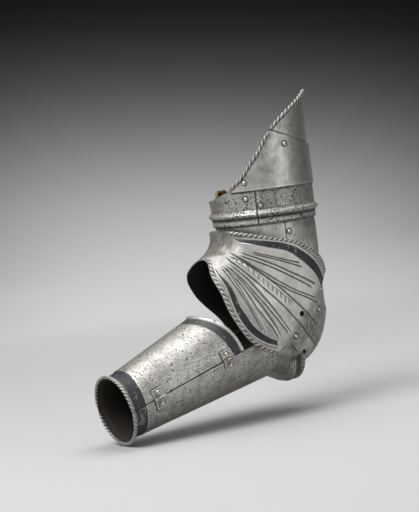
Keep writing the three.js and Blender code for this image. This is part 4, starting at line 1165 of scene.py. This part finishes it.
class Shader:
    """Short ways to write a node material."""

    def __init__(self, name):
        self.material = bpy.data.materials.new(name)
        self.material.use_nodes = True
        self.tree = self.material.node_tree
        self.surface = self.tree.nodes["Principled BSDF"]
        self.place = self.out("ShaderNodeTexCoord", "Object")

    def out(self, kind, output, **settings):
        """What one output of a new node gives."""
        return Value(node(self.tree, kind, **settings).outputs[output])

    def give(self, name, value):
        feed(self.surface.inputs[name], value)

    def attribute(self, name):
        return self.out("ShaderNodeAttribute", "Fac", attribute_name=name)

    def noise(self, vector, scale, detail, roughness):
        sizes = {"Scale": scale, "Detail": detail, "Roughness": roughness}
        return self.out("ShaderNodeTexNoise", "Fac", Vector=vector, **sizes)

    def cells(self, scale):
        return self.out("ShaderNodeTexVoronoi", "Distance", Vector=self.place, Scale=scale)

    def blend(self, share, first, second):
        made = node(self.tree, "ShaderNodeMix", data_type="RGBA")
        feed(made.inputs[0], share)
        for socket, value in zip([s for s in made.inputs if s.type == "RGBA"], (first, second)):
            feed(socket, value)
        return Value(next(s for s in made.outputs if s.type == "RGBA"))

    def along(self, direction):
        """How far a place lies along a direction."""
        made = node(self.tree, "ShaderNodeVectorMath", operation="DOT_PRODUCT", Vector=self.place)
        made.inputs[1].default_value = direction
        return Value(made.outputs["Value"])

    def steps(self, value, table):
        """A grey that follows a table of values and shades."""
        low, high = table[0][0], table[-1][0]
        made = node(self.tree, "ShaderNodeValToRGB")
        stops = made.color_ramp.elements
        while len(stops) < len(table):
            stops.new(MIDDLE)
        for stop, (at, shade) in zip(stops, table):
            stop.position = (at - low) / (high - low)
            stop.color = (shade, shade, shade, 1)
        feed(made.inputs[0], value.ramp(low, high))
        return Value(made.outputs["Color"])

    def bump(self, height, distance, strength):
        bumped = self.out("ShaderNodeBump", "Normal", Height=height, Distance=distance, Strength=strength)
        self.give("Normal", bumped)


def pit_mask(shade, noise, pitted, cells, room, edge):
    """Round pits of one size, where a noise leaves room for them."""
    return (shade.cells(cells) - noise.ramp(*room) * pitted).ramp(*edge)


def slate_black(shade, mottle, grit):
    """The colour of the slate-black bands, rubbed here and there, and how much of it there is."""
    mask = shade.attribute("black")
    worn = (mottle + grit * WORN_GRIT).ramp(*WORN_RANGE)
    slate = shade.blend(worn.most(mask.ramp(*THIN_BLACK)), SLATE, SLATE_WORN)
    rubbed = (mottle - MIDDLE) * RUBBED
    return slate, (mask + rubbed).ramp(*BLACK_EDGE) * mask.ramp(*BLACK_START)


def steel_material(name, pits, brightness, streak, roughness):
    """Old polished steel: cloudy, brushed, stained and pitted, with slate bands, dark lines that are mostly
    painted shade, painted highlights, and age with painted shade.
    """
    shade = Shader(name)
    cloud, mottle, grit = (shade.noise(shade.place, *kind) for kind in (CLOUD, MOTTLE, GRIT))
    run, rise = (shade.attribute(key) * pace for key, pace in GRAIN.items())
    brushed = shade.noise(shade.out("ShaderNodeCombineXYZ", "Vector", X=run, Y=rise), *BRUSHED)
    tone = cloud * TONE_SHARES[0] + mottle * TONE_SHARES[1] + (brushed - MIDDLE) * (TONE_SHARES[2] * streak)
    # Age, and painted shade in the crook, towards the back, on the lower lame and under the cannon
    age_and_shade = shade.attribute("age_and_shade") * tone.ramp(*AGE_AND_SHADE_TONE)
    pitted = shade.attribute("pitted") * pits
    pit = pit_mask(shade, mottle, pitted, PIT_CELLS, PIT_ROOM, PIT_EDGE)
    pit = pit.most(pit_mask(shade, grit, pitted, FINE_CELLS, FINE_ROOM, FINE_EDGE))
    slate, black = slate_black(shade, mottle, grit)
    line = (shade.attribute("line") * mottle.ramp(*LINE_RANGE)).clamped()
    lining = shade.attribute("lining")
    dull, bright = (tuple(c * brightness for c in colour) for colour in (DULL_STEEL, BRIGHT_STEEL))
    colour = shade.blend(tone.ramp(*TONE_RANGE), dull, bright)
    # Stains, age with painted shade, painted highlights, pits, slate, dark lines that are mostly painted
    # shade, and the dark inside
    layers = [
        (cloud.ramp(*STAIN_CLOUD) * mottle.ramp(*STAIN_MOTTLE), STAIN), (age_and_shade, AGE_AND_SHADE_COLOUR),
        (shade.attribute("bright"), PAINTED_HIGHLIGHT), (pit, PIT), (black, slate), (line, GROOVE), (lining, LINING),
    ]
    for share, over in layers:
        colour = shade.blend(share, colour, over)
    shade.give("Base Color", colour)
    # Dark marks: pits, the inside, and the lines, which are mostly painted shade
    dark_marks = pit.most(line).most(lining)
    shade.give("Metallic", (1.0 - dark_marks * METAL_LOSS[0] - black * METAL_LOSS[1]).clamped())
    rough = tone.ramp(*ROUGH_RANGE, *(roughness + spread for spread in ROUGH_SPREAD))
    rough = rough + dark_marks * ROUGH_SHARES[0] + age_and_shade * ROUGH_SHARES[1] + grit * ROUGH_SHARES[2]
    shade.give("Roughness", rough.clamped())
    height = mottle * HEIGHT_SHARES[0] - pit * HEIGHT_SHARES[1] + brushed * (HEIGHT_SHARES[2] * streak)
    shade.bump(height + grit * HEIGHT_SHARES[3], *STEEL_BUMP)
    return shade.material


def plain_metal(name, colours, roughness):
    shade = Shader(name)
    cloud = shade.noise(shade.place, *METAL_CLOUD)
    grit = shade.noise(shade.place, *METAL_GRIT)
    bright, dull = colours
    colour = shade.blend(cloud.ramp(*METAL_TONE), dull, bright)
    colour = shade.blend(grit.ramp(*METAL_DIRT), colour, PIT)
    # Painted highlight on a leaf's rim, and the dark line inside it
    colour = shade.blend(shade.attribute("rim") * RIM_SHARE, colour, PAINTED_HIGHLIGHT)
    shade.give("Base Color", shade.blend(shade.attribute("groove") * GROOVE_SHARE, colour, GROOVE))
    shade.give("Metallic", 1)
    shade.give("Roughness", cloud.ramp(*ROUGH_RANGE, *(roughness + spread for spread in METAL_SPREAD)))
    shade.bump(grit, *METAL_BUMP)
    return shade.material


def leather_material():
    shade = Shader("strap_leather")
    grain = shade.cells(LEATHER_CELLS)
    tone = shade.noise(shade.place, *LEATHER_CLOUD).ramp(*LEATHER_TONE)
    shade.give("Base Color", shade.blend(tone, *LEATHER_COLOURS))
    shade.give("Roughness", grain.ramp(*LEATHER_ROUGHNESS))
    shade.bump(grain, *LEATHER_BUMP)
    return shade.material


# Elbow plate
class Carving:
    """The relief of a plate and its masks, to which shapes are added one after another."""

    def __init__(self, shape):
        self.relief, self.line, self.bright, self.black = np.zeros((4, *shape))

    def add(self, relief=0, line=0, bright=0, black=0):
        self.relief = self.relief + relief
        self.line = most(self.line, line)
        self.bright = most(self.bright, bright)
        self.black = most(self.black, black)

    def add_groove(self, groove):
        # Painted shade in the groove
        darkness = np.clip(GROOVE_DARKNESS * groove - GROOVE_SHADE_OFFSET, 0, 1)
        self.add(relief=-GROOVE_DEPTH * groove, line=darkness)


def edge_distance(sheet, share):
    """For every place of a sheet, the nearest turn on one edge and the distance to it."""
    turns = np.linspace(HALF_TURN, FULL_TURN, EDGE_POINTS)
    edge = sheet.surface(turns, np.full(turns.shape, float(share)))
    tree = KDTree(len(turns))
    for i, spot in enumerate(edge):
        tree.insert(spot, i)
    tree.balance()
    found = [tree.find(spot)[1:] for spot in sheet.place.reshape(-1, 3)]
    near = turns[np.array([i for i, _ in found])].reshape(sheet.turn.shape)
    return near, np.array([off for _, off in found]).reshape(sheet.turn.shape)


def add_black_band(carving, sheet, share, table):
    """The black band along an edge of the wing, its rim, and the thin roll between it and the rope."""
    turn, off = edge_distance(sheet, share)
    rows = np.array(table)
    first, last = rows[0, 0], rows[-1, 0]
    start, end = (through(rows[:, [0, column]], turn) for column in (1, 2))
    live = band_mask(turn, first, last - first, BLACK_FADE)
    rubbed = mix(WORN_BLACK, 1, rising(turn, first, WORN_SPAN))
    black = band_mask(off, start, end - start, BLACK_SOFT) * live * rubbed
    # Painted highlight on the roll and the rim, and painted shade in the gap
    roll = drawn(off - start, EDGE_ROLL) * live * (1 if share == 0 else UPPER_ROLL_SHARE)
    gap = drawn(off - start, EDGE_GAP) * live
    rim = drawn(off - end, EDGE_RIM) * live
    relief = EDGE_ROLL_HEIGHT * roll + EDGE_RIM_HEIGHT * rim - BLACK_DEPTH * black
    carving.add(relief, EDGE_GAP_DARKNESS * gap, EDGE_BRIGHT * most(roll, rim), black)


def add_flutes(carving, x, z):
    for pair in FLUTES:
        for points in pair:
            carving.add_groove(near_line(x, z, points, GROOVE_WIDTH))
        # Painted highlight on the ridge between the pair
        ridge = near_line(x, z, between(*pair), RIDGE_WIDTH)
        carving.add(relief=RIDGE_HEIGHT * ridge, bright=RIDGE_BRIGHT * ridge)


def add_rib(carving, x, z):
    """The wing's rib: a groove on both sides, a twisted rope between them, and a ridged field."""
    for points in RIB_EDGES:
        carving.add_groove(near_line(x, z, points, RIB_EDGE_WIDTH))
    along = x * RIB_ALONG[0] + z * RIB_ALONG[1]
    across = z * RIB_ALONG[0] - x * RIB_ALONG[1]
    twist = np.abs(np.cos(np.pi * (along + RIB_SLANT * across) / RIB_PITCH))
    off, share = line_distance(x, z, RIB_ROPE)
    half = mix(RIB_NARROW, RIB_WIDE, share)
    rope = eased((half - off) / half * RIB_FULLNESS) * rising(share, *RIB_START) * rising(share, *RIB_END)
    # Painted shade in the rope's valleys and a painted highlight on its crests
    carving.add(
        relief=RIB_HEIGHT * rope * mix(RIB_VALLEY_HEIGHT, 1, twist),
        line=RIB_DARKNESS * rope * rising(twist, *RIB_VALLEY),
        bright=rope * rising(twist, *RIB_CREST),
    )
    # The field gets painted shade in its valleys
    off, share = line_distance(x, z, FIELD)
    field = rising(off, *FIELD_SIDE) * rising(share, *FIELD_START)
    carving.add(FIELD_HEIGHT * field * twist, FIELD_DARKNESS * field * rising(twist, *FIELD_VALLEY))


def carved_couter(sheet):
    """The relief and the masks of the elbow plate, on its outer side."""
    x, z = sheet.place[..., 0], sheet.height
    outer = sine(sheet.turn) < 0
    carving = Carving(x.shape)
    add_flutes(carving, x, z)
    add_rib(carving, x, z)
    for share, table in ((1, UPPER_BLACK), (0, LOWER_BLACK)):
        add_black_band(carving, sheet, share, table)
    # Painted shade in the crook, over the saddle and towards the back, and a painted highlight over the rest
    # of the wing
    crook = rising(z, *CREASE) * rising(sheet.turn, *CROOK)
    behind = rising(sheet.place @ BACKWARD, *BEHIND)
    saddle = SADDLE_SHADE * rising(sheet.turn, *SADDLE)
    masks = {
        "black": carving.black,
        "line": carving.line * (1 - BLACK_COVER * carving.black),
        "bright": most(carving.bright, WING_BRIGHT * (1 - most(crook, behind)) * (1 - carving.line)),
        "age_and_shade": most(crook, saddle, BEHIND_SHADE * behind),
    }
    return carving.relief * outer, {key: values * outer for key, values in masks.items()}


def couter_cutters():
    """What the elbow plate leaves free above and below its cap, and the hole for a lace."""
    far = ELBOW_FRONT
    above = [
        (LOBE_END - CORNER, far), (LOBE_END, CAP_TOP + CORNER), (LOBE_END + CORNER, CAP_TOP),
        (far, CAP_TOP), (far, far),
    ]
    below = [
        (LOBE_NOTCH - CORNER, -far), (LOBE_NOTCH, -CAP_TUCK), (LOBE_NOTCH + 2 * CORNER, -CAP_BOTTOM),
        (CAP_STEP - CORNER, -CAP_BOTTOM), (CAP_STEP, -CAP_CROSSING), (CAP_STEP + CORNER, -CAP_CROSSING),
        (CAP_STEP + 2 * CORNER, -CAP_TUCK), (far, -CAP_TUCK), (far, -far),
    ]
    lace = [
        (LACE_HOLE * (cosine(a) - sine(RIB_TILT)), LACE_HOLE * (sine(a) + cosine(RIB_TILT)))
        for a in range(0, FULL_TURN, CUT_STEP)
    ]
    return prism(above, -far, far), prism(below, -far, far), prism(lace, -far, 0)


def inside_cap(share):
    """The turn at which the wing's edge meets the cut beside the cap."""
    turns = np.linspace(HALF_TURN, FULL_TURN, CAP_POINTS)
    level = elbow_surface(turns, np.full(turns.shape, share)) @ BACKWARD
    return turns[np.argmax(level > (LOBE_END if share > 0 else LOBE_NOTCH) - CAP_MARGIN)]


def make_couter(material):
    turns = joined_spans(COUTER_SPANS)[1:]
    sheet = Sheet(elbow_surface, turns, np.linspace(0, 1, COUTER_ROWS), ring=True)
    relief, masks = carved_couter(sheet)
    piece = plate_piece("elbow_plate", sheet, "couter", material, None, {**masks, **WEAR_AND_SHADE["couter"]}, relief)
    cut_away(piece, *couter_cutters())
    assign(piece, material)
    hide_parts("couter")
    upper = np.linspace(UPPER_ROPE_START, inside_cap(1.0), ROPE_POINTS)
    lower = np.linspace(LOWER_ROPE_START, inside_cap(0.0), ROPE_POINTS)
    edge_rope("elbow_plate_upper_rope", elbow_surface, upper, True, "couter", material, **UPPER_ROPE)
    edge_rope("elbow_plate_lower_rope", elbow_surface, lower, False, "couter", material, **LOWER_ROPE)


# Lames
def make_lower_lame(material):
    sheet = even_sheet("lower_lame", lower_lame_surface, LOWER_LAME_END, FULL_TURN - LOWER_LAME_END)
    free = 1 - ear_share(sheet.turn)
    # Painted highlight on the ridges, and painted shade beside the rope and below them
    ridges = drawn(sheet.from_low, *LAME_RIDGES) * free
    black = band_mask(sheet.from_low, *LAME_BLACK) * free
    line = drawn(sheet.from_low, *LAME_LINES) * free
    masks = {"black": black, "line": line, "bright": LAME_RIDGE_BRIGHT * ridges, **WEAR_AND_SHADE["lower_lame"]}
    relief = LAME_RIDGE_HEIGHT * ridges - LAME_BLACK_DEPTH * black
    plate_piece("lower_lame_plate", sheet, "lower_lame", material, "lower_lame", masks, relief)
    edge = sheet.turns[ear_share(sheet.turns) < LAME_ROPE_END]
    edge_rope("lower_lame_rope", lower_lame_surface, edge, False, "lower_lame", material)


def make_upper_lame(material):
    sheet = even_sheet("upper_lame", upper_lame_surface, -UPPER_LAME_SPAN, UPPER_LAME_SPAN)
    plate_piece("upper_lame_plate", sheet, "upper_lame", material, "upper_lame", WEAR_AND_SHADE["upper_lame"])


# Upper arm
def make_band(material):
    gap = math.degrees(SEAT / BAND_RADIUS)
    low, high = CREST_ANGLE - BAND_SEAM_ANGLE, CREST_ANGLE + BAND_SEAM_ANGLE
    spans = {"band_rear": (low + gap, high - gap), "band_front": (high, low + FULL_TURN)}
    for node_name, span in spans.items():
        sheet = even_sheet("band", band_surface, *span)
        # Painted shade by the bead, under the lip, along the top, under the shoulder plate and in the seams;
        # painted highlights on the lip, the bead and the seam edges
        line = most(
            drawn(sheet.height, *BAND_LINES),
            drawn(sheet.from_low, BAND_LIP_LINE),
            drawn(sheet.from_high, BAND_TOP_LINE) * (sheet.height > BEAD_Z),
            drawn(sheet.height, UNDER_SHOULDER_LINE) * (from_crest(sheet.turn) < SHOULDER_SPAN),
            drawn(sheet.from_ends, BAND_END_LINE),
        )
        bright = most(drawn(sheet.from_ends, BAND_END_GLINT), drawn(sheet.height, *BAND_GLINTS))
        masks = {"line": line, "bright": bright, **WEAR_AND_SHADE["band"]}
        plate_piece(node_name + "_plate", sheet, "upper_plates", material, node_name, masks)


def make_sleeve(material):
    gap = math.degrees(SEAT / SLEEVE_RADIUS)
    seam = SLEEVE_SEAM_ANGLE
    spans = {"sleeve_rear": (gap - seam, seam - gap), "sleeve_front": (seam, FULL_TURN - seam)}
    for node_name, span in spans.items():
        sheet = even_sheet("sleeve", sleeve_surface, *span)
        # Painted shade in the seams and under the band's lip, and painted highlights on the seam edges
        line = most(drawn(sheet.from_ends, SLEEVE_END_LINE), drawn(sheet.height, SLEEVE_TOP_LINE))
        masks = {"line": line, "bright": drawn(sheet.from_ends, SLEEVE_END_GLINT), **WEAR_AND_SHADE["sleeve"]}
        plate_piece(node_name + "_plate", sheet, "sleeve", material, node_name, masks, wall=SLEEVE_WALL)


def back_lap(sheet):
    """Painted shade along the lap near the back of the upper plates, and a painted highlight on the strip
    past it.
    """
    turn = sheet.turn - LAP_TURN - LAP_SLOPE * (sheet.height - SEAM_Z)
    off = turn * math.radians(SHOULDER_RADIUS)
    return drawn(off, LAP_LINE), LAP_BRIGHT * rising(off, *LAP_FADE)


def make_point_plate(material):
    span = POINT_SPAN_SHARE * SHOULDER_SPAN
    sheet = even_sheet("point", point_surface, CREST_ANGLE - span, CREST_ANGLE + span)
    # Painted shade under the shoulder plate's edge, beside the rope and at the lap, and painted highlights
    # beside the rope and past the lap
    lap, glint = back_lap(sheet)
    seam = drawn(seam_height(sheet.turn) - sheet.height, SEAM_LINE)
    line = most(drawn(sheet.from_high, BESIDE_ROPE_LINE), seam, lap)
    bright = most(glint, drawn(sheet.from_high, BESIDE_ROPE_GLINT))
    masks = {"line": line, "bright": bright, **WEAR_AND_SHADE["point"]}
    plate_piece("point_plate_shell", sheet, "upper_plates", material, "point_plate", masks)
    edge = sheet.turns[tip_edge(sheet.turns) > seam_height(sheet.turns) + ROPE_RADIUS]
    edge_rope("point_plate_rope", point_surface, edge, True, "upper_plates", material)


def make_shoulder_plate(material):
    sheet = even_sheet("shoulder", shoulder_surface, CREST_ANGLE - SHOULDER_SPAN, CREST_ANGLE + SHOULDER_SPAN)
    # Painted shade beside the rope, along the low edge and at the lap, and painted highlights along the low
    # edge and past the lap
    lap, glint = back_lap(sheet)
    beside_rope = drawn(sheet.from_high, BESIDE_ROPE_LINE) * open_edge(sheet.turn)
    line = most(beside_rope, drawn(sheet.from_low, SHOULDER_LOW_LINE), lap)
    bright = most(glint, drawn(sheet.from_low, SHOULDER_LOW_GLINT))
    masks = {"line": line, "bright": bright, **WEAR_AND_SHADE["shoulder"]}
    plate_piece("shoulder_plate_shell", sheet, "upper_plates", material, "shoulder_plate", masks)
    for side, chosen in (("outer", sheet.turns < CREST_ANGLE), ("inner", sheet.turns > CREST_ANGLE)):
        edge = sheet.turns[open_edge(sheet.turns) & chosen]
        edge_rope(f"shoulder_plate_{side}_rope", shoulder_surface, edge, True, "upper_plates", material)


def open_edge(turn):
    """Whether the shoulder plate's top edge is its own, and not under the point plate."""
    return shoulder_top(turn) < seam_height(turn) - OPEN_EDGE


# Forearm cannon
def rolled(distance):
    share = distance / ROLL_WIDTH
    roll = ROLL_HEIGHT * np.sin(np.pi * mix(ROLL_START, 1, share))
    return np.where((share < 1) & (share >= 0), roll, 0)


def make_cannon(material):
    """Both halves of the cannon: only the front one has a roll and a black band at the crook."""
    edge = QUARTER_TURN - math.degrees(SEAT / CANNON_RADIUS)
    hinged = QUARTER_TURN - math.degrees(HINGE_GAP / CANNON_RADIUS)
    halves = {
        "cannon_front": (front_surface, -hinged, edge),
        "cannon_rear": (rear_surface, QUARTER_TURN, FULL_TURN - QUARTER_TURN),
    }
    for name, (surface, start, end) in halves.items():
        front = name == "cannon_front"
        turns = np.linspace(start, end, CANNON_COLUMNS)
        sheet = Sheet(surface, turns, joined_spans(CANNON_SPANS))
        beside = rising(np.abs(sheet.turn), *CROOK_BLACK_SIDE)
        crook = front * mix(CROOK_BLACK_MIDDLE, 1, beside) * band_mask(sheet.from_low, *CROOK_BLACK)
        black = most(band_mask(sheet.from_high, *WRIST_BLACK), crook)
        # Painted highlight on the ridge, and painted shade in the lines below
        ridge = drawn(sheet.from_high, WRIST_RIDGE)
        line = most(
            drawn(sheet.from_high, WRIST_LINE),
            front * drawn(sheet.from_low, CROOK_LINE),
            drawn(sheet.from_ends, CANNON_END_LINE),
        )
        # Painted highlight on the roll
        roll_bright = front * ROLL_BRIGHT * (sheet.from_low < ROLL_WIDTH)
        bright = most(drawn(sheet.from_ends, CANNON_END_GLINT), ridge, roll_bright)
        # Painted shade on the underside, away from the crook
        age_and_shade = CANNON_UNDERSIDE_SHADE * rising(cosine(sheet.turn), *CANNON_SHADE_SIDE)
        masks = {"black": black, "line": line, "bright": bright, "age_and_shade": age_and_shade, **WEAR_AND_SHADE["cannon"]}
        relief = front * rolled(sheet.from_low) + ridge - CANNON_BLACK_DEPTH * black
        plate_piece(name + "_shell", sheet, name, material, name, masks, relief)
        edge_rope(name + "_wrist_rope", surface, turns, True, name, material, **WRIST_ROPE)


# Fasteners
def rivet_axis(places):
    """The axis of a plain rivet, towards its head, and the heights of its places along it."""
    middle = places.mean(0)
    _, sizes, axes = np.linalg.svd(places - middle, full_matrices=False)
    alike = [abs(sizes[1] - sizes[2]), abs(sizes[0] - sizes[2]), abs(sizes[0] - sizes[1])]
    axis = axes[int(np.argmin(alike))]
    heights = (places - middle) @ axis
    reach = np.linalg.norm(places - middle - np.outer(heights, axis), axis=1)
    side = 1 if heights[reach > RIVET_RADIUS - RIVET_MARGIN].mean() > 0 else -1
    return middle, axis * side, heights * side


def rivet_piece(name, body, material):
    """A round domed rivet in the place and along the axis of the frame's plain one."""
    middle, axis, heights = rivet_axis(places_of(frame["nodes"][name]))
    low, base = heights.min(), heights.max() - RIVET_DOME
    foot, shank = RIVET_FOOT_RADIUS, RIVET_SHANK_RADIUS
    outline = [(0, low), (foot, low), (foot, low + RIVET_FOOT), (shank, low + RIVET_FOOT), (shank, base)]
    for angle in np.linspace(0, np.pi / 2, DOME_RINGS + 1):
        outline.append((RIVET_RADIUS * np.cos(angle), base + RIVET_DOME * np.sin(angle)))
    side = unit(np.cross(axis, ASKEW))
    other = np.cross(axis, side)

    def place(radius, height, turn):
        return (middle + axis * height + radius * (side * np.cos(turn) + other * np.sin(turn))) * MM

    piece = link(name + "_domed", turned_mesh(name + "_domed", outline, place, DOME_SIDES))
    return dress(piece, body, material, name)


def softened(name, body, width, material):
    """The frame's own shape with its edges rounded over."""
    piece = link(name + "_rounded", frame["nodes"][name].data.copy())
    weld = piece.modifiers.new("weld", "WELD")
    weld.merge_threshold = TINY
    bevel = piece.modifiers.new("rounding", "BEVEL")
    bevel.width = width * MM
    bevel.segments = ROUNDING_SEGMENTS
    bevel.limit_method = "ANGLE"
    bevel.angle_limit = math.radians(SHARP_ANGLE)
    real_mesh(piece)
    smooth(piece.data)
    return dress(piece, body, material, name)


def trim_leaf(piece, name):
    """A painted highlight on the rim of a hinge leaf, and a dark line inside it."""
    work = bmesh.new()
    work.from_mesh(piece.data)
    bmesh.ops.triangulate(work, faces=work.faces)
    for _ in range(LEAF_ROUNDS):
        long_edges = [e for e in work.edges if e.calc_length() > LEAF_STEP * MM]
        if not long_edges:
            break
        bmesh.ops.subdivide_edges(work, edges=long_edges, cuts=1)
        bmesh.ops.triangulate(work, faces=work.faces)
    work.to_mesh(piece.data)
    work.free()
    edge = -past_leaf(places_of(piece), name).max(-1)
    rim = rising(edge, LEAF_RIM + LEAF_GROOVE, -LEAF_GROOVE)
    add_masks(piece.data, {"rim": rim, "groove": hump(edge, LEAF_RIM + LEAF_GROOVE, LEAF_GROOVE)})
    smooth(piece.data)


def make_fasteners(rivet_steel, hinge_steel, brass, leather):
    bodies = frame["record"]["behaviour"]["bodies"]
    body_of = {name: body for body, names in bodies.items() for name in names}
    for name, body in body_of.items():
        if "rivet" in name or "pivot" in name:
            rivet_piece(name, body, rivet_steel)
        elif name in LEAVES:
            trim_leaf(softened(name, body, HARD_ROUNDING, hinge_steel), name)
        elif "hinge" in name:
            softened(name, body, HARD_ROUNDING, hinge_steel)
        elif name.startswith("buckle"):
            softened(name, body, BUCKLE_ROUNDING, brass)
        elif name == "strap":
            softened(name, body, STRAP_ROUNDING, leather)


# Camera, lights and stage
def camera_axes():
    azimuth, elevation, roll = (math.radians(a) for a in (CAMERA_AZIMUTH, CAMERA_ELEVATION, CAMERA_ROLL))
    level = Vector((math.cos(azimuth), math.sin(azimuth), 0))
    outward = Vector((math.sin(azimuth), -math.cos(azimuth), 0))
    back = outward * math.cos(elevation) + Vector((0, 0, math.sin(elevation)))
    rise = back.cross(level)
    right = level * math.cos(roll) + rise * math.sin(roll)
    up = rise * math.cos(roll) - level * math.sin(roll)
    return right, up, back


RIGHT, UP, BACK = camera_axes()


def make_camera():
    data = bpy.data.cameras.new("camera")
    data.lens = CAMERA_LENS
    data.sensor_width = CAMERA_SENSOR
    data.clip_end = CAMERA_REACH
    camera = link("camera", data)
    turn = Matrix((RIGHT, UP, BACK)).transposed().to_4x4()
    camera.matrix_world = Matrix.Translation(CAMERA_TARGET + BACK * CAMERA_DISTANCE) @ turn
    bpy.context.scene.camera = camera


def make_lights():
    for name, (place, size, power) in LAMPS.items():
        data = bpy.data.lights.new(name, "AREA")
        data.shape = "DISK"
        data.size = size
        data.energy = power
        lamp = link(name, data)
        toward = RIGHT * place[0] + UP * place[1] + BACK * place[2]
        lamp.location = CAMERA_TARGET + toward
        lamp.rotation_euler = toward.to_track_quat("Z", "Y").to_euler()
    world = bpy.data.worlds.new("studio")
    world.use_nodes = True
    sky = world.node_tree.nodes["Background"].inputs
    sky["Color"].default_value = (1, 1, 1, 1)
    sky["Strength"].default_value = WORLD_STRENGTH
    bpy.context.scene.world = world


def make_stage():
    """A pale floor that curves up into a wall, whose glow of painted light darkens upwards."""
    profile = [(radius, FLOOR_Z) for radius in FLOOR_RADII]
    for angle in np.linspace(0, np.pi / 2, STAGE_STEPS):
        radius = STAGE_RADIUS - STAGE_CURVE * (1 - np.sin(angle))
        profile.append((radius, FLOOR_Z + STAGE_CURVE * (1 - np.cos(angle))))
    profile.append((STAGE_RADIUS, STAGE_HEIGHT))

    def place(radius, height, turn):
        return radius * np.cos(turn), radius * np.sin(turn), height

    stage = link("stage", turned_mesh("stage", profile, place, STAGE_SIDES))
    assign(stage, backdrop_material())


def backdrop_material():
    """A pale floor that takes the object's shadow, and beyond it a glowing backdrop of painted light, darker
    upwards and towards the sides.
    """
    shade = Shader("backdrop")
    # The backdrop's painted light falls off towards the sides and upwards, and it glows for the camera and in
    # reflections
    across = (shade.along(RIGHT) - BACKDROP_MIDDLE) / BACKDROP_WIDTH
    fall = (1.0 - across * across).clamped().most(BACKDROP_LEAST)
    colour = shade.blend(fall, (0.0, 0.0, 0.0), shade.steps(shade.along(UP), BACKDROP_SHADES))
    shade.give("Base Color", FLOOR_COLOUR)
    shade.give("Roughness", FLOOR_ROUGHNESS)
    shade.give("Specular IOR Level", 0)
    glow = shade.out("ShaderNodeEmission", "Emission", Color=colour, Strength=1.0)
    rays = node(shade.tree, "ShaderNodeLightPath").outputs
    camera, glossy, glass = (Value(rays[f"Is {kind} Ray"]) for kind in ("Camera", "Glossy", "Transmission"))
    length = shade.out("ShaderNodeVectorMath", "Value", operation="LENGTH", Vector=shade.place)
    far = length.ramp(*BACKDROP_NEAR)
    share = camera.most(glossy).most(glass) * far
    mixed = node(shade.tree, "ShaderNodeMixShader")
    for socket, value in zip(mixed.inputs, (share, Value(shade.surface.outputs[0]), glow)):
        feed(socket, value)
    feed(shade.tree.nodes["Material Output"].inputs["Surface"], Value(mixed.outputs[0]))
    return shade.material


SMOOTH_STEEL = steel_material("plate_steel_smooth", **SMOOTH)
ROUGH_STEEL = steel_material("plate_steel_pitted", **PITTED)
RIVET_STEEL = plain_metal("rivet_steel", RIVET_COLOURS, RIVET_ROUGHNESS)
HINGE_STEEL = plain_metal("hinge_steel", HINGE_COLOURS, HINGE_ROUGHNESS)
BRASS = plain_metal("buckle_brass", BRASS_COLOURS, BRASS_ROUGHNESS)
make_couter(SMOOTH_STEEL)
make_lower_lame(SMOOTH_STEEL)
make_upper_lame(SMOOTH_STEEL)
make_band(ROUGH_STEEL)
make_sleeve(ROUGH_STEEL)
make_point_plate(SMOOTH_STEEL)
make_shoulder_plate(SMOOTH_STEEL)
make_cannon(ROUGH_STEEL)
make_fasteners(RIVET_STEEL, HINGE_STEEL, BRASS, leather_material())
make_camera()
make_lights()
make_stage()
bpy.context.scene.view_settings.view_transform = "Standard"
